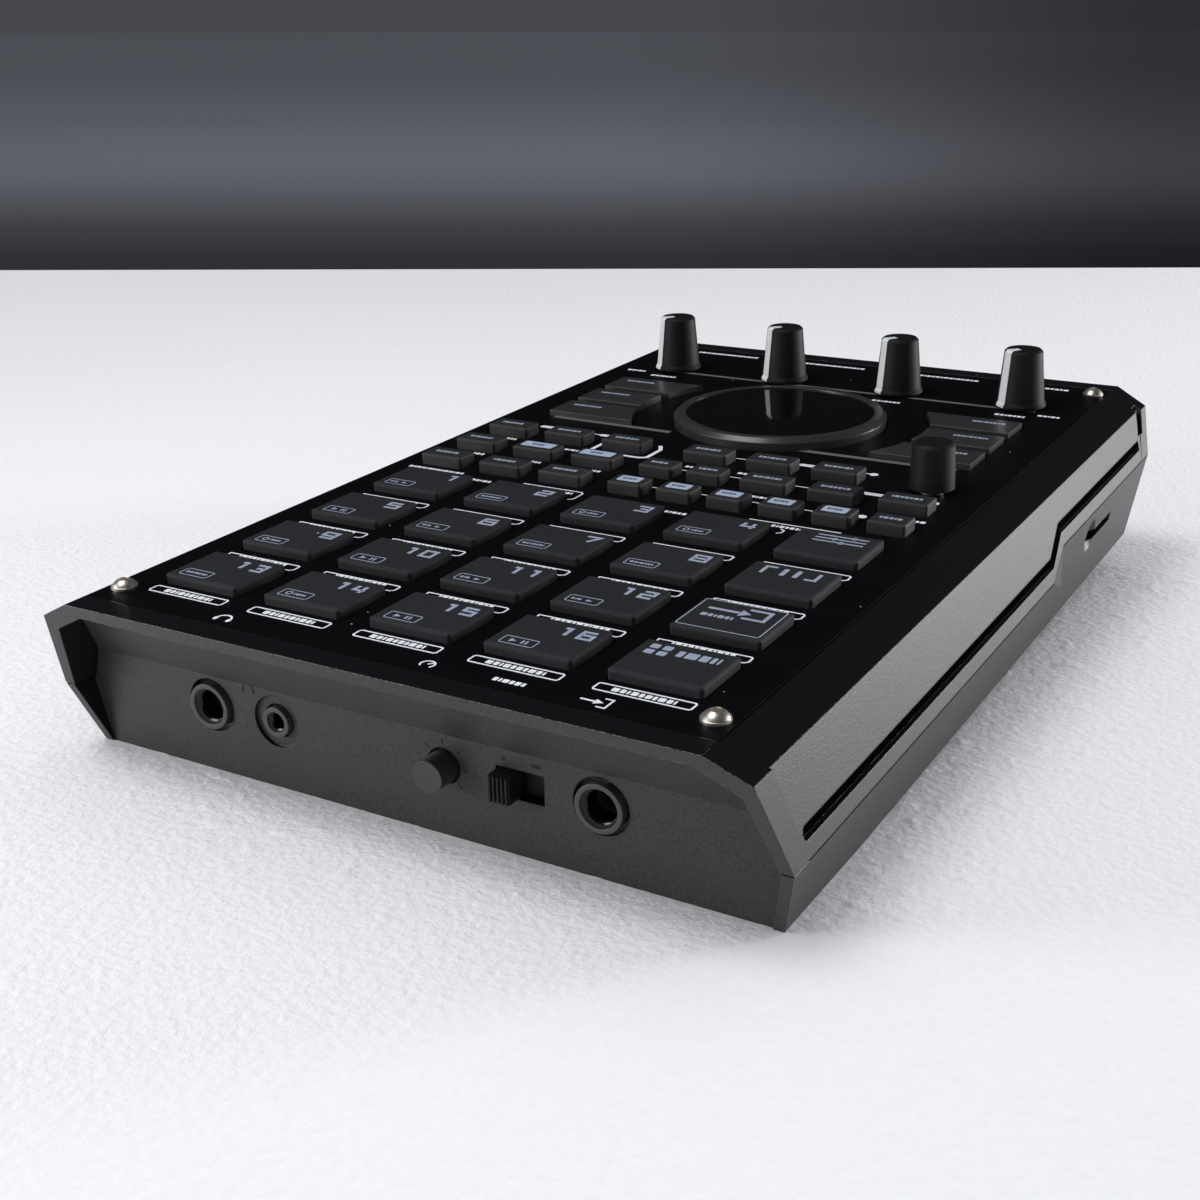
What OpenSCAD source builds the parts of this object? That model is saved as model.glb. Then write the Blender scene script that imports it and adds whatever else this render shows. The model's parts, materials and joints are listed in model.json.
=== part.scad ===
// Desktop audio sampler with rubber pads, round display, knobs and keys.
// Deck frame: x to the right, v back from the front lip, w up from the top plate.
// The deck frame is tilted by top_slope about the front lip to stand on its feet.

/* [Case] */
// Slope of the top, in degrees
top_slope = 2.4; // [1.6:0.1:4]
// Thickness of the case below the top, square to it
case_t = 41; // [38:0.5:46]
// Margin from the pad field to the edge of the flat top
side_margin = 9.8; // [7:0.1:14]
// Margin from the knob row to the rear lip
rear_margin = 28.3; // [26:0.1:34]
// Width of the sloped shoulder each side
shoulder_w = 8.9; // [6:0.1:11]
// Drop of the sloped shoulder
shoulder_drop = 4.6; // [3:0.1:6]
// How far the waist stands out past the shoulder
waist_out = 4.6; // [3:0.1:6]
// Depth of the waist, where the two halves part, below the top
waist_drop = 24; // [22.5:0.5:26]
// Rise of the parting line over the card slot
waist_jog = 6; // [4.5:0.5:7]
// How far the underside draws in from the waist
base_in = 4.4; // [2:0.1:6]
// Thickness of the hood walls
hood_t = 2.8; // [2.2:0.1:3.2]
// Thickness of the tray walls and floor
tray_t = 2.5; // [2:0.1:3]
// Visible gap along the parting line
part_gap = 0.3; // [0.2:0.05:0.5]
// How far the ends rake back from the lip to the underside
end_rake = 14.6; // [13:0.1:16]
// Depth below the top of the crease in the end walls
crease_drop = 17; // [15:0.5:18]
// Setback of the end walls under the lip
lip_setback = 6.5; // [5:0.1:8]
// Width of the groove along the sides
groove_w = 2.8; // [1.5:0.1:3.4]
// Depth of the groove along the sides
groove_depth = 1.2; // [0.6:0.1:1.5]
// Height of the groove's middle above the parting line
groove_up = 4.7; // [4:0.1:5.4]
// Width of the upright stroke behind the groove's rear end
stroke_w = 4.4; // [2.5:0.1:5]
// Width of the frame at each end of the sides
frame_w = 7.4; // [6.5:0.1:8.5]
// How far the side panels are sunk between the frames
panel_sink = 0.4; // [0.2:0.05:0.7]
// Height of the rubber feet
foot_h = 3; // [2:0.1:5]
// Radius of the rubber feet
foot_r = 7; // [5:0.5:9]

/* [Top plate] */
// Thickness of the plate
plate_t = 1.2; // [0.8:0.1:1.5]
// Thickness of the deck under the plate
deck_t = 1.8; // [1.4:0.1:2.4]
// Depth of the bare lip in front of the plate
lip_d = 6.2; // [4:0.1:8]
// Gap around the plate in its recess
plate_gap = 0.3; // [0.2:0.05:0.5]
// Clearance around pads, keys and shafts in the plate and deck
hole_gap = 0.35; // [0.3:0.05:0.5]
// Distance of the plate screws from the plate edges
screw_inset = 4; // [3.5:0.1:6]
// Radius of the plate screw heads
screw_head_r = 2.9; // [2.5:0.1:3.3]
// Radius of the plate screw shanks
screw_r = 1.5; // [1.25:0.05:2]

/* [Pads] */
// Width of a pad
pad_w = 20; // [18:0.1:22]
// Depth of a pad
pad_d = 16.2; // [14.5:0.1:18]
// Height of a pad above the plate
pad_h = 2.2; // [1.5:0.1:3]
// Pitch of the pads across
pad_pitch_x = 27.6; // [26.5:0.1:30]
// Pitch of the pads front to back
pad_pitch_v = 24.3; // [23:0.1:26]
// Margin from the plate's front edge to the first pads
pad_front_margin = 13.6; // [12:0.1:16]
// Press travel of a pad
pad_travel = 1.2; // [0.8:0.1:1.4]
// Rounding of the pad edges
pad_round = 0.9; // [0.5:0.1:1.2]

/* [Keys] */
// Width of a wide key
wide_key_w = 12.4; // [11:0.1:13.5]
// Width of a narrow key
step_key_w = 9.4; // [8:0.1:10.2]
// Depth of a key
key_d = 7; // [6:0.1:8]
// Height of a key above the plate
key_h = 3; // [2:0.1:3.5]
// Pitch of the wide keys
wide_pitch = 18.2; // [17.5:0.1:19]
// Pitch of the narrow keys
step_pitch = 13.7; // [13.2:0.1:14.2]
// Pitch of the key rows
key_row_pitch = 16; // [15:0.1:18]
// Gap from the last pads to the first key row
key_gap = 8.65; // [7.5:0.05:11]
// Middle of the left key block, left of centre
left_block_x = 43.6; // [42:0.1:45]
// Middle of the narrow key row, right of centre
right_block_x = 27.65; // [27:0.05:28.5]
// Shift of the back row's first key from the narrow keys
back_row_shift = 6; // [4:0.1:8]
// Shift of the middle row's last key from the end key
middle_row_shift = 2; // [0:0.1:3]
// Press travel of a key
key_travel = 0.8; // [0.5:0.1:0.9]
// Rounding of the key edges
key_round = 0.6; // [0.3:0.1:0.9]
// Depth of an effect key
effect_d = 12.4; // [11:0.1:13.4]
// Height of an effect key above the plate
effect_h = 1.6; // [1:0.1:2.5]
// Gap from the display ring to the effect keys
effect_gap = 12; // [9:0.1:14]
// Outer edge of the effect keys from the centre
effect_out_x = 63; // [60:0.1:65]

/* [Display] */
// Outer radius of the ring
ring_r = 30; // [28:0.1:32]
// Width of the ring's rim
ring_rim = 3.4; // [2.5:0.1:4]
// Height of the ring above the plate
ring_h = 3.3; // [2.5:0.1:4]
// Gap from the last key row to the ring
display_gap = 9.5; // [8.5:0.1:12]
// Thickness of the lens
lens_t = 1.4; // [1:0.1:1.8]
// Width of the display module
screen_w = 35; // [30:0.5:38]
// Depth of the display module
screen_d = 24; // [20:0.5:28]

/* [Knobs] */
// Radius of a knob's skirt
knob_r = 7.2; // [6.5:0.1:8]
// Radius of a knob's top
knob_top_r = 5.4; // [4.5:0.1:6.2]
// Height of a knob's top above the plate
knob_h = 17; // [14:0.1:20]
// Pitch of the knobs
knob_pitch = 37.2; // [34:0.1:39]
// Gap from the display ring to the knobs
knob_gap = 7.3; // [6:0.1:9]
// Radius of the control shafts
shaft_r = 3; // [2.5:0.05:3.2]
// Radius of the value knob's foot
value_r = 5.6; // [5.2:0.1:6.4]
// Radius of the value knob's top
value_top_r = 5.2; // [4.8:0.1:6]
// Height of the value knob's top above the plate
value_h = 12.7; // [11:0.1:15]
// Shift of the value knob from the end key
value_shift = 1.6; // [0:0.1:3]
// Press travel of the value knob
value_travel = 0.6; // [0.4:0.1:0.8]
// Running clearance of a shaft in its bore
run_gap = 0.05; // [0.03:0.01:0.1]
// Gap under the knobs and around moving levers
move_gap = 0.6; // [0.5:0.05:1]

/* [Connectors] */
// Depth of the connector axes on the front wall below the top
front_axis_drop = 24; // [23.5:0.1:25]
// Radius of a large jack's bore
jack_r = 3.25; // [3.2:0.01:3.4]
// Radius of a large jack's nose
jack_nose_r = 5.2; // [5:0.1:5.6]
// Clearance around a large jack's nose in its wall
jack_gap = 0.95; // [0.5:0.05:1.1]
// Depth of a large jack's bore
jack_bore_l = 24; // [20:0.5:28]
// Radius of the small jack's bore
mini_r = 1.8; // [1.76:0.01:1.9]
// Radius of the small jack's nose
mini_nose_r = 3.4; // [3.2:0.1:3.8]
// Depth of the small jack's bore
mini_bore_l = 13; // [11:0.5:15]
// Clearance around a small connector's nose in its wall
nose_gap = 0.4; // [0.2:0.05:0.6]
// Headphone jack, left of centre
phones_x = 50.5; // [49:0.1:52]
// Small headphone jack, left of centre
mini_x = 32.4; // [31:0.1:34]
// Gain knob, right of centre
gain_x = 10.5; // [9:0.1:12]
// Slide switch, right of centre
switch_x = 28.5; // [27.5:0.1:29.5]
// Input jack, right of centre
input_x = 46.5; // [46:0.1:48]
// Radius of the gain knob
gain_r = 3.5; // [3.2:0.1:4]
// Width of the slide switch's slot
slot_w = 11; // [10:0.1:11.6]
// Height of the slide switch's slot
slot_h = 6.4; // [5.5:0.1:7]
// Width of the slide lever
lever_w = 4.8; // [4.2:0.1:5.4]
// Pitch of the four line jacks on the rear wall
line_pitch = 18; // [17:0.1:19]
// Width of the memory card slot
card_w = 25; // [24.5:0.1:26]
// Height of the memory card slot
card_h = 2.6; // [2.4:0.1:3]
// Depth of the memory card slot below the top
card_drop = 26; // [25.5:0.1:27]

/* [Battery box] */
// Width of the cell space
bay_w = 104; // [102:0.5:108]
// Length of the cell space
bay_l = 48; // [46:0.5:50]
// Height of the cell space
bay_h = 14.8; // [14.6:0.1:15.2]
// Wall of the battery box
bay_wall = 3.4; // [2.6:0.1:4]
// Slide travel of the cover
cover_travel = 8; // [6:0.5:10]
// Thickness of the cover
cover_t = 1.8; // [1.4:0.1:2]
// Gap around the cover
cover_gap = 0.3; // [0.2:0.05:0.5]

/* [Hidden] */
$fn = 48;
cut = 1;

// Layout along the deck, front to back
pad_columns = 5;
pad_rows = 4;
pad_v = lip_d + pad_front_margin + pad_d / 2;
pad_end_v = pad_v + (pad_rows - 1) * pad_pitch_v + pad_d / 2;
key_v = pad_end_v + key_gap + key_d / 2;
back_key_v = key_v + 2 * key_row_pitch;
display_v = back_key_v + key_d / 2 + display_gap + ring_r;
knob_v = display_v + ring_r + knob_gap + knob_r;
case_l = knob_v + knob_r + rear_margin;

// Layout across the deck
top_half = (pad_columns - 1) / 2 * pad_pitch_x + pad_w / 2 + side_margin;
shoulder_half = top_half + shoulder_w;
waist_half = shoulder_half + waist_out;
base_half = waist_half - base_in;
step_count = 5;
step_x = right_block_x - step_count / 2 * step_pitch;
end_x = right_block_x + step_count / 2 * step_pitch;

// Stack below the plate
deck_drop = plate_t + deck_t;
flange = 1.2;
flange_gap = 0.3;
flange_top = -deck_drop - flange_gap;
web_t = 1.2;
board_gap = 7;
board_top = -deck_drop - board_gap;
board_t = 1.6;
press_gap = 0.4;
floor_w = -case_t + tray_t;

// The parting line steps up behind the jog
jog_v = back_key_v + 14;
jog_run = 12;
split_v = jog_v + jog_run;
rear_part_w = -waist_drop + waist_jog;
waist_slope = waist_out / (waist_drop - shoulder_drop);
rear_waist_half = waist_half - waist_jog * waist_slope;
rake = end_rake / case_t;

// Sunk side panels fade out at the middle of the groove
panel_fade = waist_drop - groove_up - shoulder_drop;
panel_flare = panel_sink * groove_up / panel_fade;
panel_slope = (waist_out + panel_sink + panel_flare) / (waist_drop - shoulder_drop);
stroke_gap = 1;

// Heads of the plate screws: a flange, a dome and a hex socket
screw_flange_t = 0.6;
screw_head_h = 2.2;
screw_dome_r = screw_head_r - 0.2;
screw_dome_h = screw_head_h - screw_flange_t;
screw_ball_r = (screw_dome_r * screw_dome_r + screw_dome_h * screw_dome_h) / (2 * screw_dome_h);
socket_r = 1.15;
socket_depth = 1.4;

// Knob details
knob_bevel = 0.6;
skirt_h = 0.8;
skirt_in = 0.5;
value_bevel = 0.7;
value_cap_t = 4;

// Stand
lip_z = foot_h + case_t * cos(top_slope) - end_rake * sin(top_slope);
depth = case_l * cos(top_slope);

// Boards and connectors
jack_axis_up = 6.2;
mini_axis_up = 4.2;
card_floor = 0.3;
front_board_w = -front_axis_drop - jack_axis_up;
main_board_w = -card_drop - card_h / 2 - card_floor;
rear_axis_w = main_board_w + jack_axis_up;
jack_body_w = 12;
jack_body_l = 26;
mini_body_w = 8;
mini_body_l = 15;
wall_face_v = end_rake;
wall_inner_v = end_rake + tray_t;
rear_face_v = case_l - end_rake;
rear_inner_v = rear_face_v - tray_t;
body_gap = 0.3;
board_start_v = wall_inner_v + 2;
board_half = top_half - 4;
front_board_l = 34;
jack_side = 14;
front_board_half = phones_x + jack_side;
board_edge = 4;
main_l = 71.9;
main_end_gap = 1;
main_board_v = rear_inner_v - main_end_gap - main_l;
post_r = 3.2;
board_post_r = 2.2;
case_post_x = top_half + 2;
post_gap = 3.8;
main_half = case_post_x - post_r - post_gap;
case_post_top = -waist_drop - 4;
case_screw_r = 1.4;
case_screw_head_r = 2.8;
case_screw_head_t = 2;
card_back = 57;
card_v = case_l - card_back;
card_setback = 4;
line_start_x = -62;
line_x = [for (i = [0:3]) line_start_x + i * line_pitch];
data_x = [14, 26];
usb_x = 40;
power_x = 53;
dc_x = 66;
data_axis_w = main_board_w + mini_axis_up;
usb_w = 9.4;
usb_h = 3.4;
usb_l = 9;
usb_wall = 0.5;
dc_nose_r = 4.6;
dc_bore_r = 2.9;
dc_bore_l = 10;
dc_body_w = 10;
dc_body_l = 13;
dc_pin_r = 1;
power_slot_w = 9;
power_slot_h = 4.4;
lever_gap = 0.4;
mini_recess_rim = 2.6;
mini_recess_depth = 0.8;
dish_r = 8;
dish_depth = 1.4;
dish_shift = 9.5;
card_face_x = base_half + (rear_waist_half - base_half) * (case_t - card_drop) / (case_t + rear_part_w);
plunger_r = 4;
key_plunger_r = 1.8;

// Battery box, level with the floor, hung just under the main board
cover_lap = 1.6;
ceiling_t = 1.2;
cover_play = 0.2;
board_play = 0.5;
foot_zone = 2 * foot_r + 4;
foot_inset = 14;
box_back_gap = 11;
box_half = bay_w / 2 + bay_wall;
box_back_y = depth / 2 - end_rake - tray_t - box_back_gap;
bay_y = box_back_y - foot_zone - bay_wall - bay_l;
box_front_y = bay_y - cover_lap - cover_travel - bay_wall;
box_top = lip_z + main_board_v * sin(top_slope)
    + (main_board_w - board_t - board_play) * cos(top_slope);
bay_z = box_top - ceiling_t - bay_h;
cover_z = bay_z - cover_play - cover_t;
box_bottom = cover_z - cover_play / 2;

// Frames and helpers
module deck() {
    translate([0, -depth / 2, lip_z]) rotate([top_slope, 0, 0]) children();
}
module along(v0, v1) {
    translate([0, v1, 0]) rotate([90, 0, 0]) linear_extrude(v1 - v0) children();
}
module across(x0, x1) {
    translate([x0, 0, 0]) rotate([90, 0, 90]) linear_extrude(x1 - x0) children();
}
module layer(w0, w1) {
    translate([0, 0, w0]) linear_extrude(w1 - w0) children();
}
module at(x, v, w = 0) {
    translate([x, v, w]) children();
}
module mirrored_pair(x, v, w = 0) {
    for (side = [-1, 1]) at(side * x, v, w) children();
}
module block(size_x, size_v, w0, w1) {
    translate([-size_x / 2, -size_v / 2, w0]) cube([size_x, size_v, w1 - w0]);
}
module rounded_square(size_x, size_y, r) {
    square([size_x - 2 * r, size_y], center = true);
    square([size_x, size_y - 2 * r], center = true);
    for (sx = [-1, 1], sy = [-1, 1]) {
        translate([sx * (size_x / 2 - r), sy * (size_y / 2 - r)]) circle(r);
    }
}
// Side view of a cap with rounded upper edges
module crowned(size, h, r) {
    translate([-size / 2, 0]) square([size, h - r]);
    translate([-size / 2 + r, 0]) square([size - 2 * r, h]);
    for (side = [-1, 1]) translate([side * (size / 2 - r), h - r]) circle(r);
}
// Cap with rounded corners and rounded upper edges, standing on w0
module cap(size_x, size_v, w0, w1, r) {
    translate([0, 0, w0]) intersection() {
        linear_extrude(w1 - w0) rounded_square(size_x, size_v, r);
        along(-size_v, size_v) crowned(size_x, w1 - w0, r);
        across(-size_x, size_x) crowned(size_v, w1 - w0, r);
    }
}

// Places of the pads and keys on the deck
function pad_place(column, row) =
    [(column - (pad_columns - 1) / 2) * pad_pitch_x, pad_v + row * pad_pitch_v];
function numbered_pad(i) = pad_place((i - 1) % 4, 3 - floor((i - 1) / 4));
function side_pad(i) = pad_place(4, 4 - i);
left_key_places = [for (row = [0:2], column = [-1:1])
    [-left_block_x + column * wide_pitch, key_v + row * key_row_pitch]];
step_key_places = [for (i = [0:step_count - 1]) [step_x + i * step_pitch, key_v]];
middle_narrow_places = [for (i = [0:1]) [step_x + i * step_pitch, key_v + key_row_pitch]];
middle_wide_places = [for (i = [0:2])
    [end_x - middle_row_shift - (2 - i) * wide_pitch, key_v + key_row_pitch]];
back_wide_places = [for (i = [0:2]) [step_x + back_row_shift + i * wide_pitch, back_key_v]];
end_key_place = [end_x, key_v];
wide_places = concat(left_key_places, middle_wide_places, back_wide_places);
narrow_places = concat(step_key_places, middle_narrow_places, [end_key_place]);
value_place = [end_x - value_shift, back_key_v];
knob_places = [for (i = [0:3]) [(i - 1.5) * knob_pitch, knob_v]];
screw_places = [for (x = [-1, 1], v = [lip_d + plate_gap + screw_inset + screw_head_r,
                                       case_l - lip_d - plate_gap - screw_inset - screw_head_r])
    [x * (top_half - screw_inset), v]];
board_post_v = [pad_v + pad_pitch_v / 2, pad_end_v + key_gap / 2,
                back_key_v + key_d / 2 + display_gap / 2, knob_v + knob_r + 4];
case_post_inset = 32;
case_post_v = [case_post_inset, case_l / 2, case_l - case_post_inset];

// Effect keys: wide bars whose inner ends follow the display
module effect_outline(side, row, grow) {
    difference() {
        translate([side * effect_out_x / 2, display_v + row * key_row_pitch])
            square([effect_out_x + 2 * grow, effect_d + 2 * grow], center = true);
        translate([0, display_v]) circle(ring_r + effect_gap - grow);
        translate([side < 0 ? -grow : -effect_out_x, display_v - ring_r])
            square([effect_out_x + grow, 2 * ring_r]);
    }
}

// All the holes through the plate and the deck
module panel_holes() {
    for (column = [0:pad_columns - 1], row = [0:pad_rows - 1]) {
        translate(pad_place(column, row))
            rounded_square(pad_w + 2 * hole_gap, pad_d + 2 * hole_gap, pad_round);
    }
    for (p = wide_places) {
        translate(p) rounded_square(wide_key_w + 2 * hole_gap, key_d + 2 * hole_gap, key_round);
    }
    for (p = narrow_places) {
        translate(p) rounded_square(step_key_w + 2 * hole_gap, key_d + 2 * hole_gap, key_round);
    }
    for (side = [-1, 1], row = [-1:1]) effect_outline(side, row, hole_gap);
    for (p = knob_places) translate(p) circle(shaft_r + hole_gap);
    translate(value_place) circle(shaft_r + hole_gap);
    for (p = screw_places) translate(p) circle(screw_r + run_gap);
}

// Case sections in the x and w plane; inset moves the sides in and the top down
module hood_section(inset, drop) {
    half = [[top_half - inset, -drop], [shoulder_half - inset, -shoulder_drop - drop],
            [waist_half - inset, -waist_drop]];
    polygon([[half[0][0], half[0][1]], [half[1][0], half[1][1]], [half[2][0], half[2][1]],
             [half[2][0], -case_t], [-half[2][0], -case_t], [-half[2][0], half[2][1]],
             [-half[1][0], half[1][1]], [-half[0][0], half[0][1]]]);
}
module case_section() {
    polygon([[top_half, 0], [shoulder_half, -shoulder_drop], [waist_half, -waist_drop],
             [base_half, -case_t], [-base_half, -case_t], [-waist_half, -waist_drop],
             [-shoulder_half, -shoulder_drop], [-top_half, 0]]);
}
// Lower part of the section: sides that draw in from half at top_w
module tray_section(half, top_w, inset, rise) {
    polygon([[half - inset, 0], [half - inset, top_w], [base_half - inset, -case_t + rise],
             [-base_half + inset, -case_t + rise], [-half + inset, top_w], [-half + inset, 0]]);
}
// Raked side view of the whole case
module raked_profile() {
    polygon([[0, 0], [case_l, 0], [case_l - end_rake, -case_t], [end_rake, -case_t]]);
}
// Side view of the parting line, as the region above or below it
module parting_region(far_w, shift) {
    polygon([[-cut, far_w], [case_l + cut, far_w], [case_l + cut, rear_part_w + shift],
             [split_v, rear_part_w + shift], [jog_v, -waist_drop + shift],
             [-cut, -waist_drop + shift]]);
}
// Plan view of the tray, which narrows behind the jog
module tray_plan() {
    polygon([[waist_half, -cut], [waist_half, jog_v], [rear_waist_half, split_v],
             [rear_waist_half, case_l + cut], [-rear_waist_half, case_l + cut],
             [-rear_waist_half, split_v], [-waist_half, jog_v], [-waist_half, -cut]]);
}
// Side view of the groove, which follows the parting line
module groove_path() {
    low = -waist_drop + groove_up;
    high = rear_part_w + groove_up;
    half = groove_w / 2;
    start = end_rake + half;
    polygon([[start, low - half], [jog_v + half, low - half], [jog_v + jog_run, high - half],
             [case_l - end_rake, high - half], [case_l - end_rake, high + half],
             [jog_v + jog_run - half, high + half], [jog_v, low + half], [start, low + half]]);
    translate([start, low]) circle(half);
    low_end = high + half + stroke_gap;
    high_end = -shoulder_drop + stroke_gap;
    polygon([for (p = [[-1, low_end], [1, low_end], [1, high_end], [-1, high_end]])
        [case_l - frame_edge(p[1]) + p[0] * stroke_w / 2, p[1]]]);
}
// Distance of a frame's edge from its end of the case, at a depth below the top
function frame_edge(w) = frame_w - w * rake;
// Side view and section of the sunk side panels
module panel_profile() {
    low = frame_edge(-waist_drop);
    polygon([[frame_w, 0], [case_l - frame_w, 0], [case_l - low, -waist_drop], [low, -waist_drop]]);
}
module panel_section() {
    top = shoulder_half - panel_sink - shoulder_drop * panel_slope;
    low = waist_half + panel_flare;
    polygon([[top, 0], [low, -waist_drop], [-low, -waist_drop], [-top, 0]]);
}
// Side view of an end wall, drawn for the front
module end_wall_profile() {
    top = -deck_drop - part_gap;
    polygon([[lip_setback, top], [wall_face_v, -crease_drop], [wall_face_v, -case_t],
             [wall_inner_v, -case_t], [wall_inner_v, -crease_drop],
             [lip_setback + tray_t, top]]);
}
// Section of an end wall: inside the hood above the parting line, full width below it
module end_wall_section(half, part_w) {
    intersection() {
        hood_section(hood_t + part_gap, deck_drop + part_gap);
        translate([-waist_half, part_w - part_gap - cut]) square([2 * waist_half, case_t]);
    }
    intersection() {
        tray_section(half, part_w, 0, 0);
        translate([-waist_half, -case_t]) square([2 * waist_half, case_t + part_w - part_gap]);
    }
}
module end_walls() {
    intersection() {
        across(-waist_half, waist_half) end_wall_profile();
        along(0, case_l) end_wall_section(waist_half, -waist_drop);
    }
    intersection() {
        across(-waist_half, waist_half) translate([case_l, 0]) mirror([1, 0]) end_wall_profile();
        along(0, case_l) end_wall_section(rear_waist_half, rear_part_w);
    }
}
module case_posts(w0, w1, r) {
    for (v = case_post_v) mirrored_pair(case_post_x, v) layer(w0, w1) circle(r);
}
// A round cut along v through an end wall
module wall_bore(x, w, r, v0, v1) {
    at(x, v0, w) rotate([-90, 0, 0]) cylinder(r = r, h = v1 - v0);
}

module upper_case() color("#2b2c2e") deck() {
    difference() {
        union() {
            difference() {
                hood_solid();
                along(-cut, case_l + cut) hood_section(hood_t, deck_drop);
            }
            intersection() {
                case_posts(case_post_top, 0, post_r);
                hood_solid();
            }
            for (v = board_post_v) mirrored_pair(top_half - 6, v)
                layer(board_top, -deck_drop + cut) circle(board_post_r);
        }
        plate_recess();
        layer(-deck_drop - cut, cut) panel_holes();
        layer(-deck_drop - cut, cut) translate([0, display_v]) circle(ring_r - ring_rim - 1.4);
        side_grooves();
        side_panels();
        case_posts(case_post_top - cut, case_post_top + 8, case_screw_r + run_gap);
    }
}
module hood_solid() {
    intersection() {
        along(0, case_l) hood_section(0, 0);
        across(-waist_half, waist_half) raked_profile();
        across(-waist_half, waist_half) parting_region(cut, 0);
    }
}
module plate_recess() {
    translate([-top_half - plate_gap, lip_d, -plate_t])
        cube([2 * (top_half + plate_gap), case_l - 2 * lip_d, plate_t + cut]);
}
module side_grooves() {
    difference() {
        across(-waist_half - cut, waist_half + cut) groove_path();
        along(0, case_l) hood_section(groove_depth, 0);
    }
}
module side_panels() {
    difference() {
        across(-waist_half - cut, waist_half + cut) panel_profile();
        along(0, case_l) panel_section();
    }
}

module lower_case() color("#2a2b2d") {
    difference() {
        union() {
            deck() tray_shell();
            battery_box();
        }
        battery_space();
        deck() wall_cuts();
        deck() case_posts(-case_t - cut, case_post_top + cut, case_screw_r + run_gap);
        deck() case_posts(-case_t - cut, -case_t + case_screw_head_t, case_screw_head_r + nose_gap);
    }
}
module tray_outer() {
    intersection() {
        along(0, case_l) case_section();
        across(-waist_half, waist_half) raked_profile();
        across(-waist_half, waist_half) parting_region(-case_t - cut, -part_gap);
        layer(-case_t, 0) tray_plan();
        union() {
            along(0, split_v) case_section();
            along(split_v, case_l) tray_section(rear_waist_half, rear_part_w, 0, 0);
        }
    }
}
module tray_shell() {
    difference() {
        tray_outer();
        along(-cut, jog_v) tray_section(waist_half, -waist_drop, tray_t, tray_t);
        along(jog_v - cut, case_l + cut) tray_section(rear_waist_half, rear_part_w, tray_t, tray_t);
        along(-cut, wall_face_v) tray_section(waist_half, -waist_drop, tray_t, -cut);
        along(rear_face_v, case_l + cut) tray_section(rear_waist_half, rear_part_w, tray_t, -cut);
    }
    end_walls();
    case_posts(floor_w - cut, case_post_top - part_gap, post_r + part_gap);
    for (v = [board_start_v + board_edge, board_start_v + front_board_l - board_edge])
        mirrored_pair(front_board_half - board_edge, v)
            layer(floor_w - cut, front_board_w - board_t) circle(board_post_r);
    for (v = [main_board_v + 2 * board_edge, rear_inner_v - 2 * board_edge])
        mirrored_pair(main_half - board_edge, v)
            layer(floor_w - cut, main_board_w - board_t) circle(board_post_r);
}
module battery_box() {
    translate([-box_half, box_front_y, box_bottom])
        cube([2 * box_half, box_back_y - box_front_y, box_top - box_bottom]);
}
// Cell space, the seat of its cover and the hollow over the rear feet
module battery_space() {
    translate([-bay_w / 2, bay_y, box_bottom - cut])
        cube([bay_w, bay_l, bay_h + bay_z - box_bottom + cut]);
    translate([-bay_w / 2 - cover_lap, bay_y - cover_lap - cover_travel, box_bottom - cut])
        cube([bay_w + 2 * cover_lap, bay_l + 2 * cover_lap + cover_travel,
              bay_z - box_bottom + cut]);
    translate([-box_half + bay_wall, bay_y + bay_l + bay_wall, box_bottom + tray_t])
        cube([2 * (box_half - bay_wall), foot_zone - bay_wall, box_top]);
}
// Everything that is cut through the tray's walls
module wall_cuts() {
    front = -cut;
    front_end = wall_inner_v + cut;
    for (x = [-phones_x, input_x]) {
        wall_bore(x, -front_axis_drop, jack_nose_r + jack_gap, front, front_end);
    }
    wall_bore(-mini_x, -front_axis_drop, mini_nose_r + nose_gap, front, front_end);
    wall_bore(-mini_x, -front_axis_drop, mini_nose_r + mini_recess_rim, front,
              wall_face_v + mini_recess_depth);
    wall_bore(gain_x, -front_axis_drop, gain_r + nose_gap, front, front_end);
    translate([switch_x - slot_w / 2, front, -front_axis_drop - slot_h / 2])
        cube([slot_w, front_end - front, slot_h]);
    rear = rear_inner_v - cut;
    rear_end = case_l + cut;
    for (x = line_x) wall_bore(x, rear_axis_w, jack_nose_r + jack_gap, rear, rear_end);
    for (x = data_x) wall_bore(x, data_axis_w, mini_nose_r + nose_gap, rear, rear_end);
    wall_bore(dc_x, rear_axis_w, dc_nose_r + nose_gap, rear, rear_end);
    translate([usb_x - usb_w / 2 - nose_gap, rear, main_board_w - nose_gap])
        cube([usb_w + 2 * nose_gap, rear_end - rear, usb_h + 2 * nose_gap]);
    translate([power_x - power_slot_w / 2, rear, rear_axis_w - power_slot_h / 2])
        cube([power_slot_w, rear_end - rear, power_slot_h]);
    translate([base_half - 8, card_v - card_w / 2, -card_drop - card_h / 2])
        cube([waist_half, card_w, card_h]);
    at(card_face_x + dish_r - dish_depth, card_v - dish_shift, -card_drop) sphere(dish_r);
}

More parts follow.
